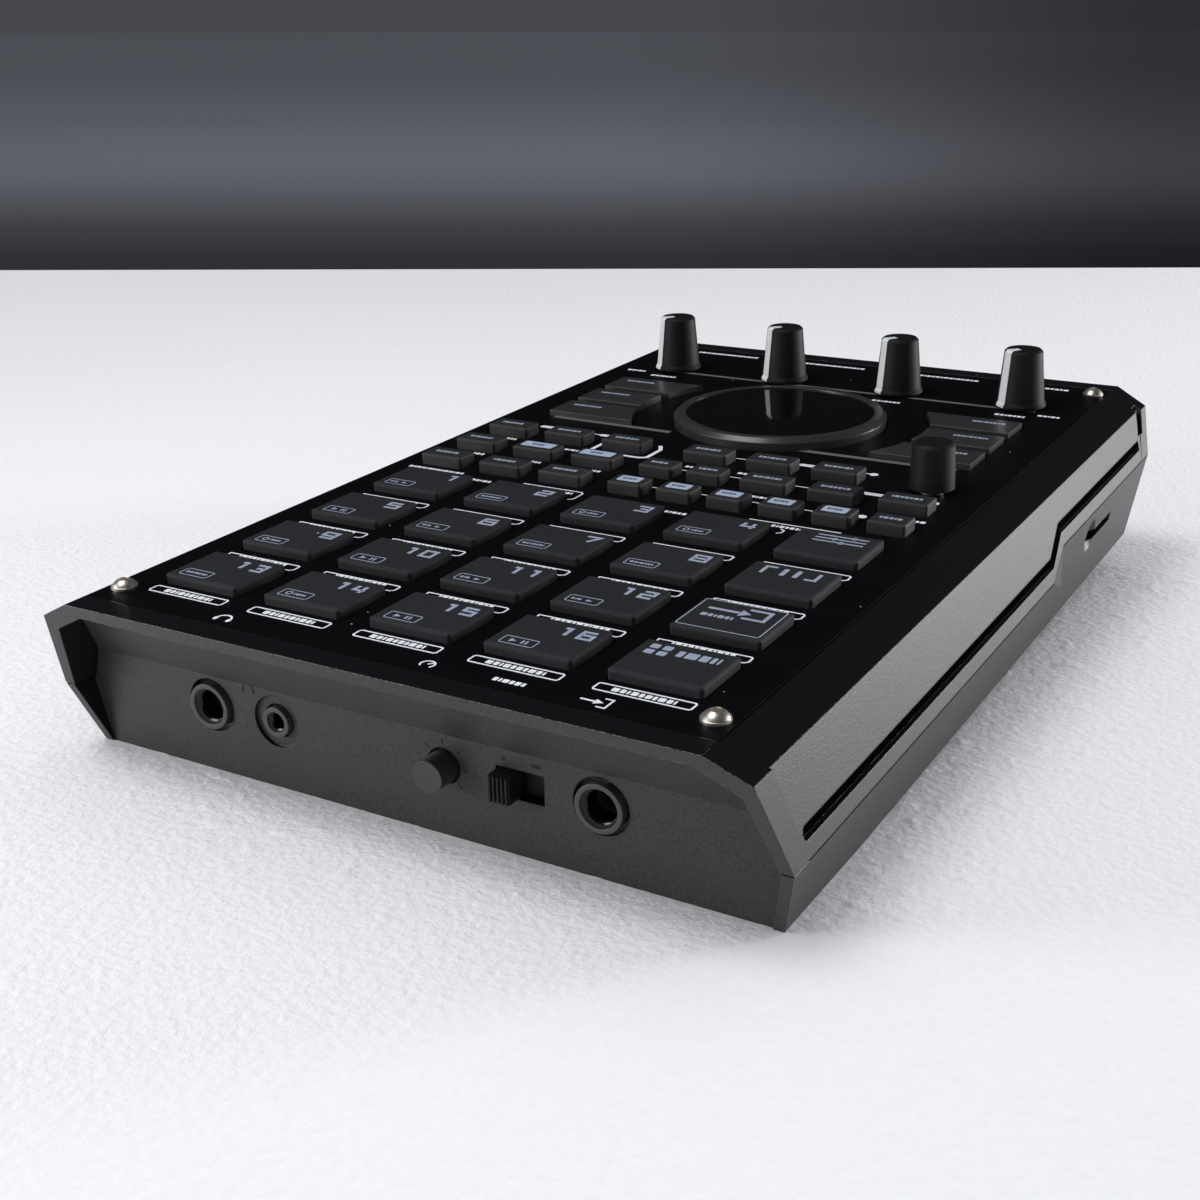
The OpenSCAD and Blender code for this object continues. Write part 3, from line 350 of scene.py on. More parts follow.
def case_finish():
    """Grey moulded sides and ends, black where faces look up, painted black shade on faces that look inwards and
    in the card dish, and a worn front lip whose light edges are a painted highlight as well as wear.
    """
    tint = colours()
    material, tree, shader, tone = moulded(
        "case_plastic", tint.case, 0.44, grain=2000.0, bump=0.6, depth=0.00008, fleck=0.45,
        Specular_IOR_Level=0.36)
    specks = use_group(tree, "dust_specks", Scale=120.0, Size=0.03)
    black = blend(tree, specks.outputs["Mask"], scaled(tint.plate, 1.6), (0.3, 0.3, 0.33, 1.0))
    facing = split(tree, true_normal(tree))
    spot = object_place(tree)
    place = split(tree, spot)
    outward = math_node(tree, "MULTIPLY", place["X"], facing["X"])
    from_dish = add(tree, "ShaderNodeVectorMath", {"operation": "DISTANCE"}, _0=spot,
                    _1=tuple(DECK @ Vector(CARD_DISH)))
    upward = math_node(tree, "GREATER_THAN", facing["Z"], 0.75)
    shaded_inward = math_node(tree, "LESS_THAN", outward, -0.02)
    shaded_dish = math_node(tree, "LESS_THAN", from_dish.outputs["Value"], CARD_DISH_R * MM)
    # Faces that look inwards and the round dish at the card slot are painted black as shade; faces that look up
    # are the black top.
    for mask in (upward, shaded_inward, shaded_dish):
        tone = blend(tree, mask, tone, black)
    edges = use_group(tree, "worn_edges", Radius=0.0003, Break_up=1500.0)
    # Along the front lip's edges the light grey is wear and also a painted highlight.
    front = math_node(tree, "LESS_THAN", place["Y"], DECK_ORIGIN.y + 0.003)
    worn = math_node(tree, "MULTIPLY", edges.outputs["Mask"], front)
    tree.links.new(blend(tree, worn, tone, (0.3, 0.3, 0.31, 1.0)), shader.inputs["Base Color"])
    matt = shader.inputs["Roughness"].links[0].from_socket
    sleek = add(tree, "ShaderNodeMix", {"data_type": "FLOAT"}, _0=upward, _2=matt, _3=0.27)
    tree.links.new(sleek.outputs[0], shader.inputs["Roughness"])
    return material


def mottled(name, grain, tones, roughs, by="Shade", **sockets):
    """A finish whose colour and roughness both follow the grain."""
    material, tree, shader = new_finish(name, **sockets)
    share = use_group(tree, "moulded_grain", Scale=grain).outputs[by]
    tree.links.new(blend(tree, share, *tones), shader.inputs["Base Color"])
    tree.links.new(ranged(tree, share, *roughs), shader.inputs["Roughness"])
    return material, tree, shader


def metal_finish(name, colour, rough):
    material, tree, shader = mottled(
        name, 3000.0, (scaled(colour, 0.82), scaled(colour, 1.1)), (rough - 0.06, rough + 0.1), Metallic=1.0)
    edges = use_group(tree, "worn_edges", Radius=0.00015)
    tree.links.new(edges.outputs["Normal"], shader.inputs["Normal"])
    return material


def lens_finish():
    """Smoked lens: near black, mirror smooth, with faint wipe marks."""
    return mottled(
        "lens", 6000.0, ((0.010, 0.010, 0.012, 1), (0.016, 0.016, 0.019, 1)), (0.02, 0.07),
        Specular_IOR_Level=0.7, Transmission_Weight=0.85, IOR=1.49)[0]


def ink_finish(name, colour, rough):
    """Printed ink, a little uneven."""
    return mottled(
        name, 4200.0, (scaled(colour, 0.92), scaled(colour, 1.08)), (rough - 0.06, rough + 0.06), "Height",
        Specular_IOR_Level=0.35)[0]


def board_finish():
    """Green circuit board with paler tracks."""
    material, tree, shader = new_finish("board", Coat_Weight=0.3)
    tracks = add(tree, "ShaderNodeTexBrick", {"offset": 0.35}, Vector=object_place(tree), Scale=260.0,
                 Mortar_Size=0.03, Color1=(0.012, 0.075, 0.035, 1), Color2=(0.016, 0.09, 0.04, 1),
                 Mortar=(0.05, 0.19, 0.09, 1))
    tree.links.new(tracks.outputs["Color"], shader.inputs["Base Color"])
    tree.links.new(ranged(tree, tracks.outputs["Fac"], 0.35, 0.5), shader.inputs["Roughness"])
    return material


def finish(name):
    """The material of that name, made on first use."""
    found = bpy.data.materials.get("sampler_" + name)
    if found:
        return found
    tint = colours()
    own = {"case_plastic": case_finish, "lens": lens_finish, "board": board_finish}
    plastics = {
        "plate_paint": (tint.plate, 0.5, dict(
            grain=5200.0, bump=0.06, radius=0.00004, dust=0.035, Specular_IOR_Level=0.05)),
        "pad_rubber": (tint.pad, 0.72, dict(
            bump=0.25, radius=0.0005, worn=(0.045, 0.047, 0.05), dust=0.05, fleck=0.4,
            Specular_IOR_Level=0.25)),
        "key_rubber": (tint.key, 0.62, dict(
            grain=4200.0, bump=0.1, worn=(0.055, 0.057, 0.062), dust=0.03, Specular_IOR_Level=0.4)),
        "light_key_plastic": (tint.light_key, 0.42, dict(grain=5200.0, bump=0.05, spread=0.08)),
        "knob_plastic": (tint.knob, 0.56, dict(
            grain=3200.0, bump=0.14, worn=(0.022, 0.023, 0.024), dust=0.03, Specular_IOR_Level=0.2)),
        "smoked_plastic": ((0.026, 0.026, 0.028), 0.34, dict(
            grain=5200.0, bump=0.03, worn=(0.06, 0.06, 0.064), Coat_Weight=0.15, Coat_Roughness=0.15)),
        "foot_rubber": ((0.012, 0.012, 0.013), 0.85, dict(grain=1800.0, bump=0.3)),
        "module_plastic": ((0.012, 0.013, 0.015), 0.35, {}),
        "connector_plastic": ((0.05, 0.05, 0.052), 0.38, dict(
            grain=5200.0, bump=0.05, worn=(0.11, 0.11, 0.115))),
        "mouth_black": ((0.003, 0.003, 0.0034), 0.13, dict(bump=0.02, Specular_IOR_Level=0.3)),
        # Black of the display's mask, also painted on the slide switch as the shade in its slot.
        "mask_black": ((0.004, 0.004, 0.005), 0.6, {}),
        # Black painted as the shade in the side grooves and the parting line.
        "groove_black": ((0.0014, 0.0014, 0.0017), 0.8, dict(Specular_IOR_Level=0.0)),
    }
    metals = {"nickel": ((0.84, 0.79, 0.71), 0.34), "steel": ((0.55, 0.55, 0.57), 0.36)}
    inks = {
        "plate_ink": (tint.ink, 0.5),
        "pad_ink": (tint.pad_ink, 0.6),
        "dark_ink": ((0.006, 0.006, 0.007), 0.6),
        "key_dark_ink": ((0.10, 0.12, 0.17), 0.5),
        "satin_line": (tint.satin_line, 0.4),
        "pointer_white": (tint.pointer, 0.45),
        "screen": ((0.008, 0.009, 0.012), 0.15),
    }
    if name in own:
        material = own[name]()
    elif name in plastics:
        colour, rough, settings = plastics[name]
        material = moulded(name, colour, rough, **settings)[0]
    elif name in metals:
        material = metal_finish(name, *metals[name])
    else:
        material = ink_finish(name, *inks[name])
    material.name = "sampler_" + name
    return material


# Meshes


def rounded(a, b, width, depth, radius, steps=4):
    """Corner points of a rounded rectangle round (a, b), turning left."""
    points = []
    for turn, (side, end) in enumerate(((1, 1), (-1, 1), (-1, -1), (1, -1))):
        for step in range(steps + 1):
            angle = math.radians(90 * (turn + step / steps))
            points.append((a + side * (width / 2 - radius) + radius * math.cos(angle),
                           b + end * (depth / 2 - radius) + radius * math.sin(angle)))
    return points


def disc(a, b, radius, steps):
    turns = [2 * math.pi * i / steps for i in range(steps)]
    return [(a + radius * math.cos(t), b + radius * math.sin(t)) for t in turns]


def arc(a, b, radius, start, end, steps):
    turns = [math.radians(start + (end - start) * i / steps) for i in range(steps + 1)]
    return [(a + radius * math.cos(t), b + radius * math.sin(t)) for t in turns]


def offset_pair(points, half, closed):
    """The two sides of a line of that half width, mitred at its corners."""
    left, right = [], []
    count = len(points)
    for i, (a, b) in enumerate(points):
        ways = []
        if closed or i > 0:
            before = points[i - 1]
            ways.append(Vector((a - before[0], b - before[1])).normalized())
        if closed or i + 1 < count:
            after = points[(i + 1) % count]
            ways.append(Vector((after[0] - a, after[1] - b)).normalized())
        mean = sum(ways, Vector((0, 0))).normalized()
        side = Vector((-mean.y, mean.x))
        reach = half / max(0.5, side.dot(Vector((-ways[0].y, ways[0].x))))
        left.append((a + side.x * reach, b + side.y * reach))
        right.append((a - side.x * reach, b - side.y * reach))
    return left, right


class Sheet:
    """Flat closed shapes of one height on one face, gathered in one mesh."""

    def __init__(self, face, low, high):
        self.mesh = bmesh.new()
        self.face = face
        self.low = low
        self.high = high

    def ring_of(self, points, height):
        return [self.mesh.verts.new(self.face @ Vector((a, b, height))) for a, b in points]

    def shape(self, points):
        lower, upper = self.ring_of(points, self.low), self.ring_of(points, self.high)
        self.mesh.faces.new(upper)
        self.mesh.faces.new(lower[::-1])
        for i, vert in enumerate(lower):
            self.mesh.faces.new((lower[i - 1], vert, upper[i], upper[i - 1]))

    def band(self, outer, inner):
        rings = [self.ring_of(*pair) for pair in (
            (outer, self.low), (outer, self.high), (inner, self.high), (inner, self.low))]
        for near, far in zip(rings, rings[1:] + rings[:1]):
            for i in range(len(near)):
                self.mesh.faces.new((near[i - 1], near[i], far[i], far[i - 1]))

    def line(self, points, width, closed=False):
        left, right = offset_pair(points, width / 2, closed)
        if closed:
            self.band(right, left)
        else:
            self.shape(right + left[::-1])

    def box(self, a, b, width, depth, radius, line):
        self.line(rounded(a, b, width, depth, radius), line, True)

    def bar(self, a, b, width, depth, radius=0.2):
        self.shape(rounded(a, b, width, depth, min(radius, width / 2.01, depth / 2.01), 2))

    def dashes(self, start, end, b, depth, seed=0):
        """A row of plain dashes in place of a word."""
        lengths = (0.8, 0.5, 0.95, 0.7, 0.35, 0.9, 0.6)
        a, i = start, seed
        while a < end - 0.3:
            length = min(depth * lengths[i % len(lengths)], end - a)
            self.bar(a + length / 2, b, length, depth)
            a += length + 0.1 + 0.16 * depth
            i += 1

    def number(self, value, right, bottom, height):
        """A plain number whose right-hand end is at right."""
        digits = str(value)
        width = height * (0.86 if len(digits) == 2 else 1.0)
        stroke = height * 0.2
        for i, digit in enumerate(reversed(digits)):
            start = right - width - i * (width + height * 0.26)
            for path, closed in DIGITS[digit]:
                points = [(start + stroke / 2 + a * (width - stroke),
                           bottom + stroke / 2 + b * (height - stroke)) for a, b in path]
                self.line(points, stroke, closed)

    def finished(self, name, material, body, slot):
        return placed(name, closed_data(self.mesh, name), material, body)


DIGITS = {
    "0": [([(0, 0), (1, 0), (1, 1), (0, 1)], True)],
    "1": [([(0.15, 1), (0.62, 1), (0.62, 0)], False)],
    "2": [([(0, 1), (1, 1), (1, 0.5), (0, 0.5), (0, 0), (1, 0)], False)],
    "3": [([(0, 1), (1, 1), (1, 0), (0, 0)], False), ([(0.3, 0.5), (1, 0.5)], False)],
    "4": [([(0.1, 1), (0, 0.36), (1, 0.36)], False), ([(0.76, 1), (0.76, 0)], False)],
    "5": [([(1, 1), (0, 1), (0, 0.55), (1, 0.55), (1, 0), (0, 0)], False)],
    "6": [([(1, 1), (0, 1), (0, 0), (1, 0), (1, 0.55), (0, 0.55)], False)],
    "7": [([(0, 1), (1, 1), (0.45, 0)], False)],
    "8": [([(0, 0), (1, 0), (1, 1), (0, 1)], True), ([(0, 0.5), (1, 0.5)], False)],
    "9": [([(0, 0), (1, 0), (1, 1), (0, 1), (0, 0.45), (1, 0.45)], False)],
}


def linked(name, data):
    """A new object in the scene."""
    piece = bpy.data.objects.new(name, data)
    bpy.context.scene.collection.objects.link(piece)
    return piece


def placed(name, data, material, body):
    """A piece with its mesh in place, riding on a body."""
    piece = linked(name, data)
    if material:
        data.materials.clear()
        data.materials.append(material)
    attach(piece, body)
    return piece


def ink_sheet(face, level):
    """A sheet of ink on a face that lies at that level."""
    rise = sizes().ink_rise / MM
    return Sheet(face, level - rise, level + rise)


def as_data(shell, name):
    data = bpy.data.meshes.new(name)
    shell.to_mesh(data)
    shell.free()
    return data


def closed_data(shell, name):
    """A closed shell as a mesh whose faces look outwards."""
    bmesh.ops.recalc_face_normals(shell, faces=shell.faces[:])
    return as_data(shell, name)


def smooth(shell):
    for face in shell.faces:
        face.smooth = True


def lathe(name, profile, place, steps=40):
    """A closed profile of (radius, depth) points turned round the z axis of place."""
    shell = bmesh.new()
    rings = []
    for i in range(steps):
        angle = 2 * math.pi * i / steps
        rings.append([shell.verts.new(place @ Vector((r * math.cos(angle), r * math.sin(angle), d)))
                      for r, d in profile])
    for i in range(steps):
        near, far = rings[i - 1], rings[i]
        for j in range(len(profile)):
            shell.faces.new((near[j - 1], near[j], far[j], far[j - 1]))
    smooth(shell)
    return closed_data(shell, name)


# Geometry node trees


def new_tree(name, inputs):
    tree = bpy.data.node_groups.new(name, "GeometryNodeTree")
    tree.interface.new_socket(name="Geometry", in_out="INPUT", socket_type="NodeSocketGeometry")
    for label, kind in inputs:
        tree.interface.new_socket(name=label, in_out="INPUT", socket_type=kind)
    tree.interface.new_socket(name="Geometry", in_out="OUTPUT", socket_type="NodeSocketGeometry")
    return tree, tree.nodes.new("NodeGroupInput"), tree.nodes.new("NodeGroupOutput")


def close_tree(tree, given, result, instances):
    real = add(tree, "GeometryNodeRealizeInstances", None, Geometry=instances)
    painted = add(tree, "GeometryNodeSetMaterial", None, Geometry=real.outputs[0],
                  Material=given.outputs["Finish"])
    tree.links.new(painted.outputs[0], result.inputs["Geometry"])
    return tree


def repeat_tree():
    """One shape set on every point of a mesh."""
    tree, given, result = new_tree("repeat_on_points", [
        ("Shape", "NodeSocketObject"), ("Finish", "NodeSocketMaterial")])
    points = add(tree, "GeometryNodeMeshToPoints", None, Mesh=given.outputs["Geometry"])
    shape = add(tree, "GeometryNodeObjectInfo", {"transform_space": "ORIGINAL"},
                Object=given.outputs["Shape"], As_Instance=True)
    copies = add(tree, "GeometryNodeInstanceOnPoints", None, Points=points.outputs[0],
                 Instance=shape.outputs["Geometry"])
    return close_tree(tree, given, result, copies.outputs[0])


def ridge_row_tree():
    """Straight ridges set in a row along y."""
    tree, given, result = new_tree("row_of_ridges", [
        ("Count", "NodeSocketInt"), ("Pitch", "NodeSocketFloat"), ("Ridge", "NodeSocketVector"),
        ("Finish", "NodeSocketMaterial")])
    step = add(tree, "ShaderNodeCombineXYZ", None, Y=given.outputs["Pitch"])
    row = add(tree, "GeometryNodeMeshLine", None, Count=given.outputs["Count"], Offset=step.outputs[0])
    ridge = add(tree, "GeometryNodeMeshCube", None, Size=given.outputs["Ridge"])
    copies = add(tree, "GeometryNodeInstanceOnPoints", None, Points=row.outputs[0],
                 Instance=ridge.outputs[0])
    return close_tree(tree, given, result, copies.outputs[0])


def grown(name, builder, points, **inputs):
    """The plain mesh that a tree gives from these points and inputs."""
    base = bpy.data.meshes.new(name + "_points")
    base.from_pydata([tuple(p) for p in points], [], [])
    source = linked(name + "_source", base)
    tree = bpy.data.node_groups.get(builder.__name__) or builder()
    tree.name = builder.__name__
    sockets = {item.name: item.identifier for item in tree.interface.items_tree if item.in_out == "INPUT"}
    modifier = source.modifiers.new("grow", "NODES")
    modifier.node_group = tree
    for label, value in inputs.items():
        modifier[sockets[label]] = value
    graph = bpy.context.evaluated_depsgraph_get()
    data = bpy.data.meshes.new_from_object(source.evaluated_get(graph))
    data.name = name
    source.modifiers.remove(modifier)
    bpy.data.objects.remove(source)
    if not data.polygons:
        raise RuntimeError(name + " came out empty")
    return data


def repeated(name, shape_data, points, material, body):
    """Copies of one mesh on points, as one piece."""
    shape = linked(name + "_shape", shape_data)
    data = grown(name, repeat_tree, points, Shape=shape, Finish=material)
    bpy.data.objects.remove(shape)
    return placed(name, data, None, body)


def mark(draw, level=0.0):
    """The mesh of one printed mark, drawn round the origin and lying as the deck does."""
    sheet = ink_sheet(TURN @ Matrix.Scale(MM, 4), level)
    draw(sheet)
    return closed_data(sheet.mesh, "mark")


def deck_points(places):
    return [DECK @ Vector((x, v, 0)) for x, v in places]


def numbered_pad(i):
    return PAD_COLUMNS[(i - 1) % 4], PAD_ROWS[3 - (i - 1) // 4]


# Operators


class SAMPLER_OT_finishes(bpy.types.Operator):
    """Give every CAD node the finish of its material slot, with a few given another finish"""

    bl_idname = "sampler.finishes"
    bl_label = "Node finishes"

    def execute(self, context):
        for node, piece in NODES.items():
            slot = SLOT_OF[node]
            if slot == "light_key_plastic":
                slot = "key_rubber"
            elif node == "slide_switch":
                # The slide switch is painted black as the shade deep in its slot.
                slot = "mask_black"
            elif node == "gain_knob":
                slot = "smoked_plastic"
            piece.data.materials.clear()
            piece.data.materials.append(finish(slot))
        return {"FINISHED"}


class SAMPLER_OT_pad_prints(bpy.types.Operator):
    """Print a number and a small boxed mark on every pad"""

    bl_idname = "sampler.pad_prints"
    bl_label = "Pad prints"

    def boxed_mark(self, sheet, x, v, kind):
        sheet.box(x - 3.4, v - 5.1, 7.6, 3.3, 0.5, 0.22)
        if kind == 0:
            sheet.shape([(x - 5.5, v - 5.9), (x - 4.0, v - 5.1), (x - 5.5, v - 4.3)])
            sheet.bar(x - 2.6, v - 5.1, 0.45, 1.5, 0.1)
            sheet.bar(x - 1.7, v - 5.1, 0.45, 1.5, 0.1)
        elif kind == 1:
            sheet.line(disc(x - 5.2, v - 5.1, 0.7, 14), 0.3, True)
            sheet.dashes(x - 3.9, x - 0.6, v - 5.1, 0.9, 1)
        elif kind == 2:
            sheet.dashes(x - 6.3, x - 0.6, v - 5.1, 0.9, 2)
        else:
            sheet.dashes(x - 6.3, x - 3.6, v - 5.1, 0.9, 3)
            sheet.shape([(x - 2.8, v - 5.7), (x - 1.4, v - 5.1), (x - 2.8, v - 4.5)])

    def execute(self, context):
        height = sizes().numeral_height / MM
        for i in range(1, 17):
            x, v = numbered_pad(i)
            sheet = ink_sheet(DECK, PAD_TOP)
            sheet.number(i, x + 8.8, v + 1.0, height)
            self.boxed_mark(sheet, x, v, (i * 7 + i // 4) % 4)
            sheet.finished(f"pad_print_{i}", finish("pad_ink"), f"pad_{i}", "pad_rubber")
        for i in range(1, 5):
            x, v = PAD_COLUMNS[4], PAD_ROWS[4 - i]
            sheet = ink_sheet(DECK, PAD_TOP)
            if i == 1:
                for step, reach in enumerate((2.6, -1.4, 0.8)):
                    level = v + 5.2 - 1.9 * step
                    sheet.line([(x - 4.6, level), (x + 7.4, level)], 0.55)
                    sheet.bar(x + 1.4 + reach, level, 1.0, 1.5, 0.2)
            elif i == 2:
                for step in (-1, 1):
                    sheet.bar(x + 0.2 + step * 1.5, v + 3.4, 1.1, 4.0, 0.3)
                sheet.line([(x - 6.0, v + 1.4), (x - 6.0, v + 5.4), (x - 3.6, v + 5.4)], 0.8)
                sheet.line([(x + 6.4, v + 5.4), (x + 6.4, v + 1.4), (x + 4.0, v + 1.4)], 0.8)
            elif i == 3:
                sheet.box(x, v, 18.0, 14.2, 0.6, 0.24)
                sheet.line([(x - 6.6, v + 2.9), (x + 0.6, v + 2.9)], 0.9)
                sheet.shape([(x + 0.4, v + 1.3), (x + 2.8, v + 2.9), (x + 0.4, v + 4.5)])
                border = ((1.6, 5.2), (6.4, 5.2), (6.4, 0.6), (1.6, 0.6))
                sheet.line([(x + a, v + b) for a, b in border], 0.8)
                sheet.dashes(x - 6.6, x + 0.4, v - 0.6, 1.4, 2)
            else:
                for a in (-6.6, -3.9):
                    for b in (2.2, 4.9):
                        sheet.bar(x + a, v + b, 1.9, 1.9, 0.3)
                sheet.dashes(x - 1.2, x + 7.8, v + 3.55, 2.6, 1)
            sheet.finished(f"side_pad_print_{i}", finish("pad_ink"), f"side_pad_{i}", "pad_rubber")
        return {"FINISHED"}


class SAMPLER_OT_plate_prints(bpy.types.Operator):
    """Print the boxes, brackets, lines and plain marks of the top plate"""

    bl_idname = "sampler.plate_prints"
    bl_label = "Plate prints"

    def label_boxes(self, line):
        def draw(sheet):
            sheet.box(0, 0, 20.2, 3.0, 0.6, line)
            sheet.dashes(-6.6, 6.6, 0, 1.5, 2)

        places = [(x, 16.2) for x in PAD_COLUMNS]
        repeated("label_boxes", mark(draw), deck_points(places), finish("plate_ink"), "case")

    def brackets(self, line):
        def draw(sheet):
            hook = [(-10.2, -0.9), (-10.2, 0), (9.4, 0)] + arc(9.4, -0.7, 0.7, 80, 0, 4)
            sheet.line(hook + [(10.1, -2.4), (9.4, -3.1), (8.3, -3.1)], line)
            sheet.dashes(-7.0, 6.6, -0.9, 1.4, 4)

        places = [(x, v + 12.9) for x in PAD_COLUMNS for v in PAD_ROWS[:3]]
        repeated("row_brackets", mark(draw), deck_points(places), finish("plate_ink"), "case")

    def front_icons(self, sheet):
        sheet.line(arc(-39.3, 9.6, 1.7, 180, 0, 10), 0.45)
        sheet.bar(-41.0, 9.2, 0.9, 1.5, 0.3)
        sheet.bar(-37.6, 9.2, 0.9, 1.5, 0.3)
        sheet.line(arc(11.8, 9.9, 1.5, 225, -45, 12), 0.4)
        sheet.line([(11.8, 9.9), (12.8, 10.9)], 0.4)
        sheet.dashes(26.6, 34.2, 10.2, 1.4, 3)
        sheet.line([(45.4, 10.2), (48.6, 10.2)], 0.5)
        sheet.shape([(48.4, 9.2), (50.2, 10.2), (48.4, 11.2)])
        sheet.line([(49.6, 12.0), (51.4, 12.0), (51.4, 8.4), (49.6, 8.4)], 0.4)

    def key_lines(self, sheet, line):
        sheet.line([(STEP_KEYS_X[0] + 2.8, 126.0), (41.5, 126.2), (43.0, 127.8), (51.4, 127.8)], line)
        sheet.bar(52.3, 127.6, 2.4, 2.2, 0.9)
        sheet.line([(STEP_KEYS_X[0] + 2.8, 142.2), (38.0, 142.6), (41.0, 144.6), (63.4, 144.6)], line)
        sheet.bar(47.2, 144.6, 8.4, 1.9, 0.8)
        sheet.bar(64.2, 144.4, 2.2, 2.2, 0.9)
        sheet.line([(5.0, 157.8), (11.0, 158.0), (22.0, 159.8), (42.0, 160.2)], line)
        sheet.bar(25.2, 159.9, 6.4, 1.9, 0.8)
        sheet.bar(42.6, 160.0, 2.2, 2.2, 0.9)
        sheet.line([(-58.8, 162.6), (-36.0, 161.9)], line)
        sheet.bar(-56.2, 162.6, 5.6, 1.9, 0.8)
        sheet.bar(-37.0, 161.9, 4.4, 1.9, 0.8)
        sheet.line([(-35.4, 158.6), (-34.0, 156.0), (-34.0, 148.4), (-32.4, 147.2), (-18.4, 147.2),
                    (-16.8, 148.4), (-16.8, 156.0), (-18.6, 159.4)], line * 2.8)

    def words(self, sheet):
        for start, end, v, seed in WORDS:
            sheet.dashes(start, end, v, 1.35, seed)
        for x in KNOBS_X:
            sheet.dashes(x - 4.0, x + 5.0, 229.6, 1.4, 2)
            sheet.dashes(x - 4.6, x + 17.0 if x < 40 else x + 8.0, 264.4, 1.5, 1)
        for side in (-1, 1):
            sheet.dashes(side * 66.6 - 3.4, side * 66.6 + 3.4, 233.0, 1.4, 2)

    def execute(self, context):
        line = sizes().ink_line / MM
        self.label_boxes(line)
        self.brackets(line)
        sheet = ink_sheet(DECK, 0.0)
        self.front_icons(sheet)
        self.key_lines(sheet, line)
        self.words(sheet)
        sheet.line([(-33.8, 114.4), (-16.6, 114.4), (-15.8, 113.4), (-15.8, 108.9), (-17.0, 108.0)], line)
        sheet.dashes(-32.6, -17.6, 112.4, 1.35, 0)
        sheet.line([(29.4, 114.4), (52.6, 114.4)], line)
        sheet.line([(39.0, 111.0), (40.2, 110.2), (40.2, 108.6), (39.2, 107.8)], line)
        sheet.dashes(36.0, 46.0, 112.4, 1.35, 3)
        sheet.finished("plate_print", finish("plate_ink"), "case", "plate_paint")
        lines = ink_sheet(DECK, 0.0)
        lines.line([(-61.0, 173.4), (-22.8, 172.8)], 1.9)
        lines.line([(16.8, 172.0), (60.0, 172.4)], 1.9)
        lines.line([(-60.0, 236.6), (61.5, 236.6)], 1.5)
        lines.finished("plate_lines", finish("satin_line"), "case", "plate_paint")
        return {"FINISHED"}


class SAMPLER_OT_key_tops(bpy.types.Operator):
    """Set pale tops on the light keys and print a plain mark on every other key"""

    bl_idname = "sampler.key_tops"
    bl_label = "Key tops and marks"

    def pale_tops(self, name, body, places, width):
        def top(sheet):
            sheet.shape(rounded(0, 0.3, width, 4.0, 0.5))

        def legend(sheet):
            sheet.dashes(-2.0, 2.2, 0.3, 1.1, 3)

        repeated(name, mark(top, KEY_TOP), deck_points(places), finish("light_key_plastic"), body)
        over_top = KEY_TOP + 2 * sizes().ink_rise / MM
        repeated(name + "_marks", mark(legend, over_top), deck_points(places), finish("key_dark_ink"), body)

    def plain_marks(self, name, body, places, level):
        sheet = ink_sheet(DECK, level)
        for i, (x, v, width) in enumerate(places):
            sheet.dashes(x - width / 2, x + width / 2, v, 1.25, i)
        sheet.finished(name, finish("pad_ink"), body, "key_rubber")

    def execute(self, context):
        self.pale_tops("step_key_tops", "step_keys", [(x, KEY_ROWS[0]) for x in STEP_KEYS_X], 6.2)
        pale_left = [(x, KEY_ROWS[1]) for x in LEFT_KEYS_X[1:]]
        self.pale_tops("left_key_tops", "left_keys", pale_left, 9.6)
        left = [(x, v, 7.0) for v in KEY_ROWS for x in LEFT_KEYS_X if (x, v) not in pale_left]
        self.plain_marks("left_key_marks", "left_keys", left, KEY_TOP)
        right = [(x, KEY_ROWS[1], 5.0) for x in STEP_KEYS_X[:2]]
        right += [(x, KEY_ROWS[1], 7.6) for x in WIDE_KEYS_X] + [(x, KEY_ROWS[2], 7.6) for x in BACK_KEYS_X]
        self.plain_marks("right_key_marks", "right_keys", right + [(END_KEY_X, KEY_ROWS[0], 5.4)], KEY_TOP)
        for side, body in ((-1, "effect_keys_left"), (1, "effect_keys_right")):
            places = [(side * 55.0, v + 2.4, 9.5) for v in EFFECT_ROWS]
            self.plain_marks(body + "_marks", body, places, EFFECT_TOP)
        return {"FINISHED"}


class SAMPLER_OT_knob_details(bpy.types.Operator):
    """Set a white pointer on each knob"""

    bl_idname = "sampler.knob_details"
    bl_label = "Knob pointers"

    def pointer(self, name, x):
        """A strip up the knob's side and in over the edge of its top."""
        path = ((7.22, 0.8, 1.0), (7.22, 1.4, 1.0), (6.72, 2.2, 0.97), (6.06, 9.3, 0.9), (5.42, 16.4, 0.84),
                (4.82, 17.02, 0.8), (1.6, 17.02, 0.5))
        half = sizes().pointer_width / MM / 2
        centre = sizes().pointer_angle
        shell = bmesh.new()
        rows = []
        for radius, level, share in path:
            ring = []
            for rise in (0.05, -0.3):
                on_top = level > 16.9
                reach = radius if on_top else radius + rise
                height = level + rise if on_top else level
                spread = math.asin(half * share / max(reach, 0.1))
                for step in range(5):
                    angle = centre + spread * (step / 2 - 1) * (1 if rise > 0 else -1)
                    ring.append(shell.verts.new(DECK @ Vector((
                        x + reach * math.cos(angle), KNOB_V + reach * math.sin(angle), height))))
            rows.append(ring)
        for near, far in zip(rows, rows[1:]):
            for i in range(len(near)):
                shell.faces.new((near[i - 1], near[i], far[i], far[i - 1]))
        shell.faces.new(rows[0])
        shell.faces.new(rows[-1][::-1])
        placed(name, closed_data(shell, name), finish("pointer_white"), "knob_" + name[-1])

    def execute(self, context):
        for i, x in enumerate(KNOBS_X):
            self.pointer(f"knob_pointer_{i + 1}", x)
        return {"FINISHED"}


